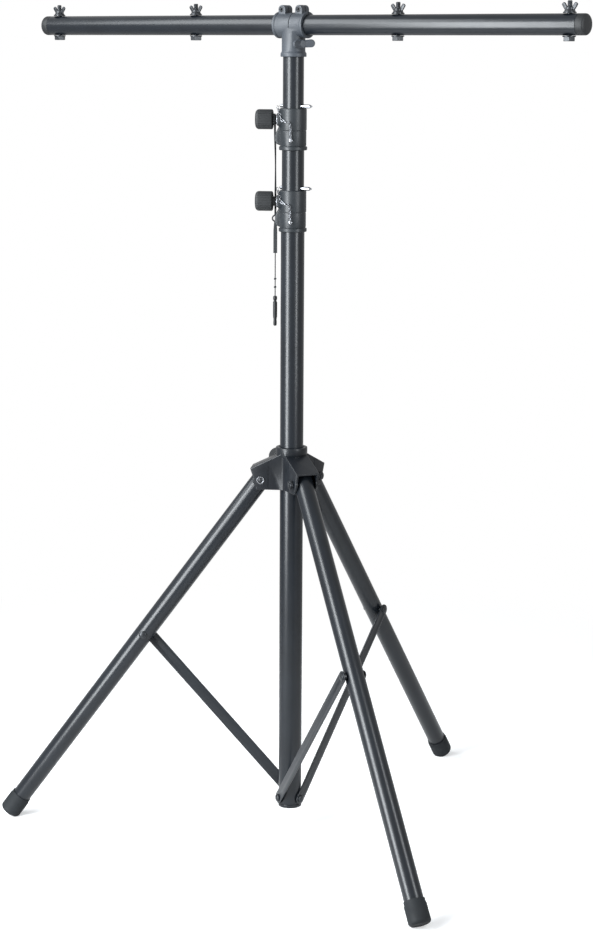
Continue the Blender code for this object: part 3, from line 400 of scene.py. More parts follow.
def arc(centre, radius, start, end, count):
    """Points on an arc, in degrees, both ends included."""
    angles = [math.radians(start + (end - start) * n / (count - 1)) for n in range(count)]
    return [(centre[0] + radius * math.cos(a), centre[1] + radius * math.sin(a)) for a in angles]


def circle(centre, radius, count=HOLE):
    return arc(centre, radius, 0, 360 - 360 / count, count)


def smooth(mesh):
    mesh.shade_smooth()
    mesh.set_sharp_from_angle(angle=SHARP_ANGLE)
    return mesh


def finished(shape):
    mesh = bpy.data.meshes.new("shape")
    bmesh.ops.recalc_face_normals(shape, faces=shape.faces)
    shape.to_mesh(mesh)
    shape.free()
    return smooth(mesh)


def baked(maker):
    """The mesh of an object that is only there for it, with its modifiers or curve made real."""
    bpy.context.view_layer.update()
    graph = bpy.context.evaluated_depsgraph_get()
    mesh = bpy.data.meshes.new_from_object(maker.evaluated_get(graph))
    bpy.data.objects.remove(maker, do_unlink=True)
    shape = bmesh.new()
    shape.from_mesh(mesh)
    bmesh.ops.remove_doubles(shape, verts=shape.verts, dist=0.000003)
    return finished(shape)


def softened(profile, radius, closed=False):
    """A profile with its corners rounded by at most this radius."""
    points = [Vector(p) for p in profile]
    count = len(points)
    found = []
    for n, point in enumerate(points):
        before, after = points[n - 1], points[(n + 1) % count]
        if not closed and n in (0, count - 1):
            found.append(point)
            continue
        back, on = before - point, after - point
        if back.angle(on) > NEARLY_STRAIGHT:
            found.append(point)
            continue
        reach = min(radius, back.length * CORNER_SHARE, on.length * CORNER_SHARE)
        start, end = point + back.normalized() * reach, point + on.normalized() * reach
        for share in (0, 0.33, 0.67, 1):
            found.append(start.lerp(point, share).lerp(point.lerp(end, share), share))
    return found


def skin(shape, rows, steps, closed):
    """Faces between each row of points and the next. A row of one point closes the shape there."""
    for above, below in zip(rows, rows[1:] + (rows[:1] if closed else [])):
        for n in range(steps):
            around = ((above, n), (below, n), (below, n + 1), (above, n + 1))
            corners = dict.fromkeys(row[at % len(row)] for row, at in around)
            if len(corners) > 2:
                shape.faces.new(corners)


def turned(profile, steps=ROUND, closed=False, edge=EDGE, warp=None):
    """(radius, z) points turned round Z. An open profile is closed to the axis, at its first and last z.

    warp(angle, radius, z) may give another radius.
    """
    if not closed:
        top, bottom = [[(0, z)] if radius else [] for radius, z in (profile[0], profile[-1])]
        profile = [*top, *profile, *bottom]
    if edge:
        profile = softened(profile, edge, closed)
    shape = bmesh.new()
    rows = []
    for radius, z in profile:
        if radius < 1e-7:
            rows.append([shape.verts.new((0, 0, z))])
            continue
        row = []
        for n in range(steps):
            angle = 2 * math.pi * n / steps
            reach = warp(angle, radius, z) if warp else radius
            row.append(shape.verts.new((reach * math.cos(angle), reach * math.sin(angle), z)))
        rows.append(row)
    skin(shape, rows, steps, closed)
    return finished(shape)


def sleeve(outer, inner, low, high, steps=ROUND, edge=EDGE):
    return turned([(outer, high), (outer, low), (inner, low), (inner, high)], steps, True, edge)


def rod(radius, low, high, steps=SMALL, edge=0.0):
    return turned([(radius, high), (radius, low)], steps, edge=edge)


def plate(outline, thickness, holes=(), edge=0.0):
    """A flat outline in XY, made thick by half each way along Z, with rounded edges."""
    curve = bpy.data.curves.new("outline", "CURVE")
    curve.dimensions = "2D"
    curve.fill_mode = "BOTH"
    curve.extrude = thickness / 2 - edge
    if edge:
        curve.bevel_depth = edge
        curve.bevel_resolution = 2
        curve.offset = -edge
    for loop in (outline, *holes):
        spline = curve.splines.new("POLY")
        spline.points.add(len(loop) - 1)
        for point, (x, y) in zip(spline.points, loop):
            point.co = (x, y, 0, 1)
        spline.use_cyclic_u = True
    return baked(linked("outline", curve))


def box(size, centre=(0, 0, 0)):
    shape = bmesh.new()
    bmesh.ops.create_cube(shape, size=1, matrix=shift(*centre) @ Matrix.Diagonal((*size, 1)))
    return finished(shape)


def prism(radius, low, high, sides=6, edge=0.0):
    """A regular prism along Z whose ends are rounded off as on a hex nut."""
    body = moved(plate(circle((0, 0), radius, sides), high - low), shift(0, 0, (low + high) / 2))
    if not edge:
        return body
    flat = radius * math.cos(math.pi / sides)
    dome = turned([
        (flat * 0.96, high), (radius * 1.01, high - edge), (radius * 1.01, low + edge), (flat * 0.96, low),
    ], 48, edge=0)
    return fused(body, [(dome, Matrix(), "INTERSECT")])


def moved(mesh, matrix):
    """A copy of a mesh, moved."""
    mesh = mesh.copy()
    mesh.transform(matrix)
    return mesh


def group(pieces):
    """One mesh from several, each given with the matrix that places it."""
    shape = bmesh.new()
    for mesh, matrix in pieces:
        shape.from_mesh(moved(mesh, matrix))
    mesh = bpy.data.meshes.new("group")
    shape.to_mesh(mesh)
    shape.free()
    return smooth(mesh)


def fused(mesh, changes, solver="EXACT"):
    """A mesh after Booleans with other meshes, each given with its matrix and operation."""
    maker = linked("maker", mesh)
    helpers = []
    for other, matrix, operation in changes:
        helper = linked("helper", moved(other, matrix))
        change = maker.modifiers.new(operation.title(), "BOOLEAN")
        change.operation = operation
        change.solver = solver
        change.object = helper
        helpers.append(helper)
    made = baked(maker)
    for helper in helpers:
        bpy.data.objects.remove(helper, do_unlink=True)
    return made


def cut(mesh, matrix=Matrix()):
    return mesh, matrix, "DIFFERENCE"


def join(mesh, matrix=Matrix()):
    return mesh, matrix, "UNION"


def ring(radius, sides=12):
    return circle((0, 0), radius, sides)


def sweep(path, section, closed=False, side=(1, 0, 0), twist=None):
    """A section carried along a path. section is (x, y) points, or gives them for a share of the way."""
    points = [Vector(p) for p in path]
    count = len(points)
    side = Vector(side)
    shape = bmesh.new()
    rings = []
    for n, centre in enumerate(points):
        before = points[n - 1] if n or closed else centre
        after = points[(n + 1) % count] if n + 1 < count or closed else centre
        along = (after - before).normalized()
        side = (side - side.dot(along) * along).normalized()
        share = n / (count - 1)
        x = Quaternion(along, twist(share) if twist else 0) @ side
        y = along.cross(x)
        corners = section(share) if callable(section) else section
        rings.append([shape.verts.new(centre + x * u + y * v) for u, v in corners])
    skin(shape, rings, len(rings[0]), closed)
    if not closed:
        shape.faces.new(rings[0])
        shape.faces.new(rings[-1])
    return finished(shape)


def smooth_route(route, step):
    """Points every step along a smooth curve through the route's own points."""
    points = [Vector(point) for point in route]
    ends = [2 * points[0] - points[1], *points, 2 * points[-1] - points[-2]]
    found = []
    for before, first, second, after in zip(ends, ends[1:], ends[2:], ends[3:]):
        count = max(1, round((second - first).length / step))
        for n in range(count):
            t = n / count
            found.append(0.5 * (
                2 * first + (second - before) * t
                + (2 * before - 5 * first + 4 * second - after) * t ** 2
                + (3 * first - before - 3 * second + after) * t ** 3
            ))
    return [*found, points[-1]]


# Finishes: each is a material and the record's slot

RELIEF_DISTANCE = 0.0004
# The radius of the edges rounded in shading, and of the painted edge highlight along them
BEVEL_HIGHLIGHT_R = 0.0006


def feed(socket, value):
    """Link a socket to another one, or give it a value."""
    if isinstance(value, bpy.types.NodeSocket):
        socket.id_data.links.new(value, socket)
    else:
        socket.default_value = value


def set_values(node, values):
    """Give a node its settings and feed its inputs, by name."""
    for key, value in values.items():
        if hasattr(node, key):
            setattr(node, key, value)
        else:
            feed(node.inputs[key], value)
    return node


def add_node(tree, kind, **values):
    return set_values(tree.nodes.new(kind), values)


def spanned(tree, source, low, high, start=0.3, end=0.7, curve="LINEAR"):
    """A value that goes from low to high while the source goes from start to end."""
    ends = {"From Min": start, "From Max": end, "To Min": low, "To Max": high}
    node = add_node(tree, "ShaderNodeMapRange", interpolation_type=curve, Value=source, **ends)
    return node.outputs["Result"]


def combined(tree, operation, first, second):
    """The result of a calculation with two sockets, or with a socket and a number."""
    node = add_node(tree, "ShaderNodeMath", operation=operation)
    feed(node.inputs[0], first)
    feed(node.inputs[1], second)
    return node.outputs["Value"]


def new_material(name, values):
    """A material whose shader has these values, with its node tree and the shader."""
    made = bpy.data.materials.new(name)
    made.use_nodes = True
    tree = made.node_tree
    return made, tree, set_values(tree.nodes["Principled BSDF"], values)


def finish(slot, colour, rough, grain, bump, metallic=0.0, spread=0.2, specular=0.5, sheen=0.0,
           edges=0.0, weave=None, stretch=(1, 1, 1)):
    """A material with mottled colour and gloss, a fine grain, and where asked a weave, or paler edges that
    are a painted edge highlight.
    """
    made, tree, shader = new_material(
        slot if slot not in bpy.data.materials else slot + "_b",
        {"Metallic": metallic, "Specular IOR Level": specular, "Sheen Weight": sheen})
    space = add_node(tree, "ShaderNodeTexCoord").outputs["Object"]
    where = add_node(tree, "ShaderNodeMapping", Scale=stretch, Vector=space).outputs["Vector"]

    def patterned(kind, **values):
        """The strength of a pattern over the object's own space."""
        return add_node(tree, kind, Vector=where, **values).outputs["Fac"]

    def noise(scale, detail):
        return patterned("ShaderNodeTexNoise", Scale=scale, Detail=detail)

    def mixed(share, first, second, blend="MIX"):
        node = add_node(tree, "ShaderNodeMix", data_type="RGBA", blend_type=blend)
        for number, value in ((0, share), (6, first), (7, second)):
            feed(node.inputs[number], (*value, 1) if isinstance(value, tuple) else value)
        return node.outputs[2]

    dark = tuple(c * (1 - spread) for c in colour)
    light = tuple(c * (1 + spread) for c in colour)
    shade = mixed(spanned(tree, noise(16, 5), 0, 1), dark, light)
    height = noise(grain, 3)
    if weave:
        waves = [patterned("ShaderNodeTexWave", bands_direction=direction, Scale=scale)
                 for direction, scale in weave.items()]
        cloth = mixed(1.0, *waves, "MULTIPLY")
        height = mixed(0.25, cloth, height)
        shade = mixed(spanned(tree, cloth, 0, 0.6, 0.0, 0.8), shade, tuple(c * 2.2 for c in colour))
    relief = add_node(tree, "ShaderNodeBump", Strength=bump, Distance=RELIEF_DISTANCE, Height=height)
    # Paler colour along the edges is a painted edge highlight, broken up by noise; the Bevel node's rounded
    # normal also shades them
    if edges:
        rounded = add_node(tree, "ShaderNodeBevel", samples=6, Radius=BEVEL_HIGHLIGHT_R).outputs["Normal"]
        feed(relief.inputs["Normal"], rounded)
        facing = add_node(tree, "ShaderNodeVectorMath", operation="DOT_PRODUCT")
        feed(facing.inputs[0], rounded)
        feed(facing.inputs[1], add_node(tree, "ShaderNodeNewGeometry").outputs["Normal"])
        painted_edge_highlight = combined(tree, "MULTIPLY", spanned(tree, facing.outputs["Value"], edges, 0, 0.80, 0.99),
                        spanned(tree, noise(120, 3), 0.2, 1, 0.4, 0.6))
        shade = mixed(painted_edge_highlight, shade, tuple(c * 3.5 + 0.02 for c in colour))
    gloss = spanned(tree, noise(38, 4), *rough)
    set_values(shader, {"Base Color": shade, "Normal": relief.outputs["Normal"], "Roughness": gloss})
    return made, slot


# edges sets the strength of a painted edge highlight: paler colour along the edges
TUBE = finish("black_steel", (0.0060, 0.0080, 0.0110), (0.28, 0.30), 1100, 0.002, specular=0.38)
CAST = finish("grey_casting", (0.034, 0.040, 0.049), (0.44, 0.56), 700, 0.14, edges=0.4)
HUB = finish("black_casting", (0.0060, 0.0075, 0.0100), (0.28, 0.38), 800, 0.06, specular=0.35, edges=0.6)
COLLAR = finish("black_casting", (0.0120, 0.0150, 0.0180), (0.36, 0.46), 800, 0.08, specular=0.4, edges=0.5)
PLASTIC = finish("black_plastic", (0.010, 0.011, 0.012), (0.48, 0.60), 1500, 0.10, specular=0.35)
RUBBER = finish("black_rubber", (0.010, 0.012, 0.014), (0.62, 0.78), 900, 0.20, specular=0.25, spread=0.35)
CHROME = finish("chromed_steel", (0.30, 0.31, 0.33), (0.18, 0.30), 500, 0.03, metallic=1.0, spread=0.10,
                stretch=(1, 1, 0.2))
ZINC = finish("black_zinc", (0.018, 0.020, 0.023), (0.26, 0.40), 900, 0.04, metallic=0.4, spread=0.30,
              edges=0.7)
NYLON = finish("nylon", (0.030, 0.030, 0.032), (0.50, 0.62), 1200, 0.08)
WEBBING = finish("webbing", (0.014, 0.016, 0.018), (0.80, 0.92), 2500, 0.7, sheen=0.15,
                 weave={"X": 260, "Z": 320})
CORD = finish("webbing", (0.014, 0.016, 0.018), (0.80, 0.92), 2500, 0.6, sheen=0.15,
              weave={"X": 420, "Z": 420})


def piece(name, mesh, finish_of, matrix, body, *nodes):
    """A shown piece that rides on a body and stands for these CAD nodes."""
    mesh.transform(STAND @ matrix)
    made = linked(name, mesh)
    material, slot_name = finish_of
    mesh.materials.clear()
    mesh.materials.append(material)
    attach(made, body)
    if nodes:
        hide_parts(*nodes)
    return made


def shown(node, mesh, finish_of, matrix, body):
    """A piece that stands for one CAD node and is named after it."""
    return piece(node + "_shown", mesh, finish_of, matrix, body, node)


# Strap, with its cord and toggle

def flat(width, thick):
    """A flat section with rounded edges, its width along x."""
    return softened([(-width / 2, -thick / 2), (width / 2, -thick / 2), (width / 2, thick / 2),
                     (-width / 2, thick / 2)], thick * 0.4, True)


def make_strap():
    at_knob = turn(KNOB_AZIMUTH, "Z")
    loop_in = KNOB_NECK_R + GAP
    loop_r = loop_in + STRAP_THICK / 2
    loop_end = KNOB_START - CHAIN_SLACK
    loop_u = loop_end - STRAP_WIDTH / 2
    upper = smooth_route([
        (loop_u, -loop_r, UP_KNOB_Z), (loop_u, -loop_r, UP_KNOB_Z - 0.012),
        (loop_u, -loop_r - 0.0005, UP_KNOB_Z - 0.024), (STRAP_U + 0.0003, STRAP_T, UP_KNOB_Z - 0.055),
        (STRAP_U, STRAP_T, UP_KNOB_Z - 0.085), (STRAP_U, STRAP_T, RING_Z + RING_R),
    ], 0.003)
    webbing = piece(
        "strap_webbing",
        sweep(upper, flat(STRAP_WIDTH, WEBBING_THICK),
              twist=lambda share: WEBBING_TWIST * math.sin(math.pi * share) ** 2),
        WEBBING, at_knob, "mast_mid", "strap")
    loop = piece("strap_loop", sleeve(loop_in + STRAP_THICK, loop_in, loop_end - STRAP_WIDTH, loop_end, 40),
                 WEBBING, at_knob @ shift(0, 0, UP_KNOB_Z) @ ALONG_X, "mast_mid")
    hoop = [(x, 0, z) for x, z in circle((0, 0), RING_R, 32)]
    hook = piece("strap_ring", sweep(hoop, ring(RING_WIRE / 2), True, (0, 1, 0)), ZINC,
                 at_knob @ shift(STRAP_U, STRAP_T, RING_Z), "mast_mid")

    drop = [(STRAP_U, STRAP_T, RING_Z - RING_R + 0.0008 - (TAIL_LENGTH - RING_R) * n / TAIL_STEPS)
            for n in range(TAIL_STEPS + 1)]
    tail = piece(
        "strap_tail",
        sweep(drop, lambda share: flat(TAIL_WIDTH * min(1, 0.62 + 1.3 * share), STRAP_THICK)),
        WEBBING, at_knob, "mast_mid")

    def across(reach, section):
        """A round bar across the tail, this far to each side of its middle."""
        return sweep([(STRAP_U - reach, 0, 0), (STRAP_U + reach, 0, 0)], section, side=(0, 0, 1))

    seam = across(TAIL_WIDTH * 0.42, ring(SEAM_R, 8))
    rows = [shift(0, STRAP_T + face * STRAP_THICK / 2, TAIL_BOTTOM + rise)
            for face in (-1, 1) for rise in SEAM_RISES]
    seams = piece("strap_seams", group([(seam, row) for row in rows]), CORD, at_knob, "mast_mid")
    fold = piece("strap_fold", across(TAIL_WIDTH / 2, ring(FOLD_R)), WEBBING,
                 at_knob @ shift(0, STRAP_T, TAIL_BOTTOM + FOLD_R), "mast_mid")
    make_cord(at_knob @ shift(STRAP_U, STRAP_T, 0))


def make_cord(at_strap):
    """The two-strand cord below the strap, with its knots, and the toggle on its end."""
    top = TAIL_BOTTOM + 0.0006
    fall = CORD_BOTTOM - 0.002 - top
    line = [(0, 0, top + fall * n / CORD_STEPS) for n in range(CORD_STEPS + 1)]

    def strands(share):
        """Two round strands side by side, as one outline that turns down the cord."""
        turned_by = share * 2 * math.pi * CORD_TURNS
        found = []
        for n in range(16):
            angle = 2 * math.pi * n / 16
            radius = CORD_R * (0.74 + 0.26 * abs(math.cos(angle)))
            found.append((radius * math.cos(angle + turned_by), radius * math.sin(angle + turned_by)))
        return found

    cord = piece("strap_cord_line", sweep(line, strands), CORD, at_strap, "mast_mid", "strap_cord")
    trefoil = []
    for n in range(60):
        a = 2 * math.pi * n / 60
        trefoil.append(Vector((math.sin(a) + 2 * math.sin(2 * a), math.cos(a) - 2 * math.cos(2 * a),
                               -1.9 * math.sin(3 * a))) * (KNOT_R * 0.27))
    knot = sweep(trefoil, ring(KNOT_STRAND_R, 10), True, (0, 0, 1))
    knots = piece("strap_knots", group([(knot, shift(0, 0, TAIL_BOTTOM - drop)) for drop in KNOT_DROPS]),
                  CORD, at_strap, "mast_mid")
    top = CORD_BOTTOM - GAP
    outline = [
        (0.60, 0), (0.92, 0.0012), (0.96, 0.0060), (0.66, 0.0075), (0.66, 0.0092), (0.98, 0.0105),
        (1.00, 0.0220), (0.97, 0.0350), (0.72, 0.0400), (0.83, 0.0450), (0.80, 0.0490),
        (0.55, TOGGLE_LENGTH),
    ]
    grip = turned([(r * TOGGLE_R, top - z) for r, z in outline], 36, edge=0.0008)
    toggle = piece("strap_toggle_grip", grip, PLASTIC, at_strap, "mast_mid", "strap_toggle")


make_strap()


# Mast

def dome(radius, base, height, count=8):
    """Points from the top of a round head out to its rim."""
    angles = [math.pi / 2 * n / count for n in range(count + 1)]
    return [(radius * math.sin(a), base + height * math.cos(a)) for a in angles]


def round_under(radius, seat, height):
    """The other way up: from the rim of a round head below -seat down to its lowest point."""
    return [(r, -z) for r, z in reversed(dome(radius, seat + HEAD_SKIRT, height - HEAD_SKIRT))]


def make_mast():
    spots = [radial(azimuth - 90, BASE_PIVOT_Z) for azimuth in LEG_AZIMUTHS]
    bolt_hole = rod(BASE_BOLT_R + GAP, BASE_BOLT_INNER - GAP, LOW_R * 1.5)
    cuts = [cut(bolt_hole, spot) for spot in spots]
    hole = rod(PIN_HOLE_R, -2 * LOW_R, 2 * LOW_R)
    heights = [PIN_LOW_Z - n * HOLE_PITCH for n in range(round(MAST_TRAVEL / HOLE_PITCH) + 1)]
    row = [(hole, shift(0, 0, z) @ ALONG_X) for z in (*heights, PIN_UP_Z)]
    tubes = (
        ("lower", LOW_R, LOW_BOTTOM, LOW_TOP, cuts),
        ("mid", MID_R, MID_BOTTOM, MID_TOP, [cut(group(row[:-1]))]),
        ("top", TOP_R, TOP_BOTTOM, TOP_TOP, [cut(group(row))]),
    )
    for name, radius, bottom, top, holes in tubes:
        tube = fused(sleeve(radius, radius - TUBE_WALL, bottom, top), holes)
        body = "mast_" + name
        piece(name + "_tube_shown", tube, TUBE, Matrix(), body, body + "_tube")
    plug_r = LOW_R - TUBE_WALL - GAP
    lip_r = LOW_R + BASE_LIP
    plug = fused(turned([
        (plug_r, BASE_PLUG_TOP), (plug_r, LOW_BOTTOM - GAP), (lip_r, LOW_BOTTOM - GAP), (lip_r, BASE_BOTTOM),
    ], edge=0.0012), cuts)
    shown("base_plug", plug, HUB, Matrix(), "mast_lower")
    head = STRUT_OUT + GAP
    bolt = turned([
        *dome(BASE_HEAD_R, head + 0.0008, BASE_HEAD_H - 0.0008), (BASE_HEAD_R, head), (BASE_BOLT_R, head),
        (BASE_BOLT_R, BASE_BOLT_INNER),
    ], 36, edge=0)
    for name, spot in zip(LEG_NAMES, spots):
        node = "strut_" + name + "_base_bolt"
        piece(name + "_base_bolt_shown", bolt.copy(), ZINC, spot, "mast_lower", node)


make_mast()


# Collars, knobs, pins and chains

def make_collar(prefix, tube_r, inner_r, bottom, body):
    """A cast collar with its groove, bead, boss, rib, dimple and rivet."""
    top = bottom + COLLAR_HEIGHT
    knob_z = top - COLLAR_KNOB_DROP
    bead = COLLAR_R + COLLAR_BEAD
    slim = COLLAR_R - COLLAR_SLIM
    groove = bottom + GROOVE_RISE
    shell = turned([
        (COLLAR_R - 0.0010, top), (COLLAR_R, top - 0.0014), (COLLAR_R, groove + 0.0018),
        (slim - GROOVE_DEPTH, groove + 0.0010), (slim - GROOVE_DEPTH, groove), (slim, groove - 0.0006),
        (slim, bottom + 0.0090), (slim - 0.0008, bottom + 0.0068), (bead, bottom + 0.0056),
        (bead, bottom + 0.0010), (COLLAR_R, bottom),
    ])
    rib = plate([
        (COLLAR_R * 0.8, bottom + 0.006), (BOSS_FACE + 0.003, bottom + 0.010),
        (BOSS_FACE + RIB_OUT, bottom + 0.015), (BOSS_FACE + RIB_OUT, bottom + 0.026),
        (BOSS_FACE, knob_z - 0.013), (COLLAR_R * 0.8, knob_z - 0.010),
    ], RIB_THICK, edge=0.0022)
    knob_spot = radial(KNOB_AZIMUTH, knob_z)
    screw_hole = rod(KNOB_SCREW_R + GAP, inner_r * 0.7, BOSS_FACE + 0.01)
    dimple = turned([(0.0021, 0.004), (0.0016, 0.0004), (0, 0)], 24)
    made = fused(shell, [
        join(rod(BOSS_R, COLLAR_R * 0.7, BOSS_FACE, 48, 0.0010), knob_spot),
        join(rib, turn(KNOB_AZIMUTH, "Z") @ SIDEWAYS),
        cut(rod(tube_r + GAP, bottom - 0.01, top - COLLAR_LIP, ROUND)),
        cut(rod(inner_r + 2 * SLIDE_GAP, bottom - 0.02, top + 0.01, ROUND)),
        cut(screw_hole, knob_spot),
        cut(dimple, radial(DIMPLE_AZIMUTH, groove) @ shift(0, 0, COLLAR_R - DIMPLE_DEPTH)),
    ])
    shown(prefix + "_collar", made, COLLAR, Matrix(), body)
    rivet = turned([*dome(RIVET_R, COLLAR_R + 0.0010, RIVET_DOME), (RIVET_R, COLLAR_R - 0.0002)],
                   SMALL, edge=0)
    rivet_spot = radial(COLLAR_RIVET_AZIMUTH, bottom + COLLAR_RIVET_RISE)
    piece(prefix + "_chain_rivet", rivet, CHROME, rivet_spot, body)
    washer = sleeve(WASHER_R, KNOB_SCREW_R + GAP, BOSS_FACE + GAP, WASHER_FACE, 48, 0.0005)
    piece(prefix + "_washer_shown", washer, CHROME, knob_spot, body, prefix + "_knob_washer")
    make_chain(prefix, bottom, body)


def make_chain(prefix, bottom, body):
    """Oval links, each turned a quarter from the last, from the pin's ring to the collar's rivet."""
    top = bottom + COLLAR_HEIGHT
    knob_z = top - COLLAR_KNOB_DROP
    side_r = COLLAR_R + CHAIN_R + GAP
    boss_reach = BOSS_R + CHAIN_R + CHAIN_SLACK

    def over_boss(turned_by):
        """A point that rests on the boss, this many degrees past its middle."""
        across = side_r * math.sin(math.radians(turned_by))
        return KNOB_AZIMUTH + turned_by, side_r, knob_z + math.sqrt(boss_reach ** 2 - across ** 2)

    route = [
        (180, CHAIN_START_R, top - CHAIN_R - GAP),
        (193, (CHAIN_START_R + side_r) / 2, top - CHAIN_R - 2 * CHAIN_SLACK),
        over_boss(-5), over_boss(8), over_boss(20), over_boss(30),
        (252, side_r, top - 0.0180), (267, side_r, top - 0.0215), (284, side_r, top - 0.0228),
        (294, side_r, top - 0.0280),
        (COLLAR_RIVET_AZIMUTH, side_r, bottom + COLLAR_RIVET_RISE + RIVET_R + GAP),
    ]
    spots = [(r * math.cos(math.radians(a)), r * math.sin(math.radians(a)), z) for a, r, z in route]
    line = smooth_route(spots, 0.0005)
    oval = [(LINK_HALF + x, y, 0) for x, y in arc((0, 0), LINK_BEND, -90, 90, 9)]
    oval += [(-LINK_HALF + x, y, 0) for x, y in arc((0, 0), LINK_BEND, 90, 270, 9)]
    link = sweep(oval, ring(LINK_WIRE, 8), True, (0, 0, 1))
    links = []
    walked, due = 0.0, LINK_START
    for before, after in zip(line, line[1:]):
        walked += (after - before).length
        if walked < due:
            continue
        along = (after - before).normalized()
        out = Vector((after.x, after.y, 0)).normalized()
        side = along.cross(out).normalized()
        lift = side.cross(along)
        axes = Matrix((along, side, lift)).transposed().to_4x4()
        tilt = turn(45 if len(links) % 2 else -45, "X")
        links.append((link, Matrix.Translation(after) @ axes @ tilt))
        due += LINK_PITCH
    piece(prefix + "_chain_links", group(links), CHROME, Matrix(), body, prefix + "_safety_chain")


def make_knob(prefix, matrix, face, tube_r, start, length, radius):
    """A fluted knob along Z, hollow towards the mast round its neck, with its moulded-in screw."""
    end = start + length
    rim = arc((radius - KNOB_EDGE, end - KNOB_EDGE), KNOB_EDGE, 90, 0, 12)

    def fluted(angle, reach, z):
        share = (reach / radius - 0.74) / 0.16
        if z < start or share <= 0:
            return reach
        return reach - min(1, share) * KNOB_FLUTE_DEPTH * (0.5 - 0.5 * math.cos(KNOB_FLUTES * angle)) ** 2

    cup = start + KNOB_CUP
    made = turned([
        (radius * 0.32, end - KNOB_DISH), (radius * 0.38, end), *rim, (radius, start + 0.0012),
        (radius - 0.0012, start), (radius - 0.0030, start), (radius - 0.0042, cup),
        (KNOB_NECK_R + 0.0006, cup), (KNOB_NECK_R, cup - 0.0006), (KNOB_NECK_R, face + GAP),
        (KNOB_SCREW_R, face + GAP), (KNOB_SCREW_R, tube_r + GAP),
    ], KNOB_SIDES, edge=0.0002, warp=fluted)
    shown(prefix + "_knob", made, PLASTIC, matrix, prefix + "_knob")


def make_pin(name, height, body):
    """A round pin with a pointed nose and a flattened tail, and the ring through its tail."""
    shank = turned([
        (0, PIN_TIP), (0.0007, PIN_TIP - 0.0003), (PIN_R * 0.62, PIN_TIP - 0.0026),
        (PIN_R, PIN_TIP - PIN_NOSE), (PIN_R, -PIN_TAIL + 0.0095), (PIN_R * 0.4, -PIN_TAIL + 0.0070),
    ], 32, edge=0.0008)
    eye = -PIN_TAIL + PIN_EYE_RISE
    end, shoulder = -PIN_TAIL + PIN_FLAT_LENGTH, -PIN_TAIL + 0.0080
    tail = plate(softened([
        (-PIN_FLAT_HALF, -PIN_TAIL), (PIN_FLAT_HALF, -PIN_TAIL), (PIN_FLAT_HALF, shoulder), (0.0016, end),
        (-0.0016, end), (-PIN_FLAT_HALF, shoulder),
    ], 0.0014, True), PIN_FLAT_THICK, [circle((0, eye), PIN_EYE_R, 16)], 0.0004)
    spot = shift(0, 0, height) @ ALONG_X
    made = fused(shank, [join(tail, SIDEWAYS @ turn(180, "Y") @ turn(180, "Z"))])
    shown(name, made, CHROME, spot, body)
    hoop = [(PIN_RING_R + PIN_RING_R * x, PIN_RING_R * y, 0) for x, y in circle((0, 0), 1, SMALL)]
    hook = sweep(hoop, ring(PIN_RING_WIRE, 10), True, (0, 0, 1))
    piece(name + "_ring", hook, CHROME, spot @ shift(0, 0, eye), body)


make_collar("lower", LOW_R, MID_R, COLLAR_LOW_BOTTOM, "mast_lower")
make_collar("upper", MID_R, TOP_R, COLLAR_UP_BOTTOM, "mast_mid")
KNOB_LENGTH = KNOB_END - KNOB_START
for prefix, knob_z, clamped_r in (("lower", LOW_KNOB_Z, MID_R), ("upper", UP_KNOB_Z, TOP_R)):
    make_knob(prefix, radial(KNOB_AZIMUTH, knob_z), WASHER_FACE, clamped_r, KNOB_START, KNOB_LENGTH, KNOB_R)
make_knob("hub", radial(HUB_KNOB_AZIMUTH, HUB_KNOB_Z), HUB_BOSS_FACE, LOW_R,
          HUB_KNOB_START, KNOB_LENGTH * HUB_KNOB_SCALE, KNOB_R * HUB_KNOB_SCALE)
make_pin("lower_safety_pin", PIN_LOW_Z, "lower_pin")
make_pin("upper_safety_pin", PIN_UP_Z, "upper_pin")


# Tripod

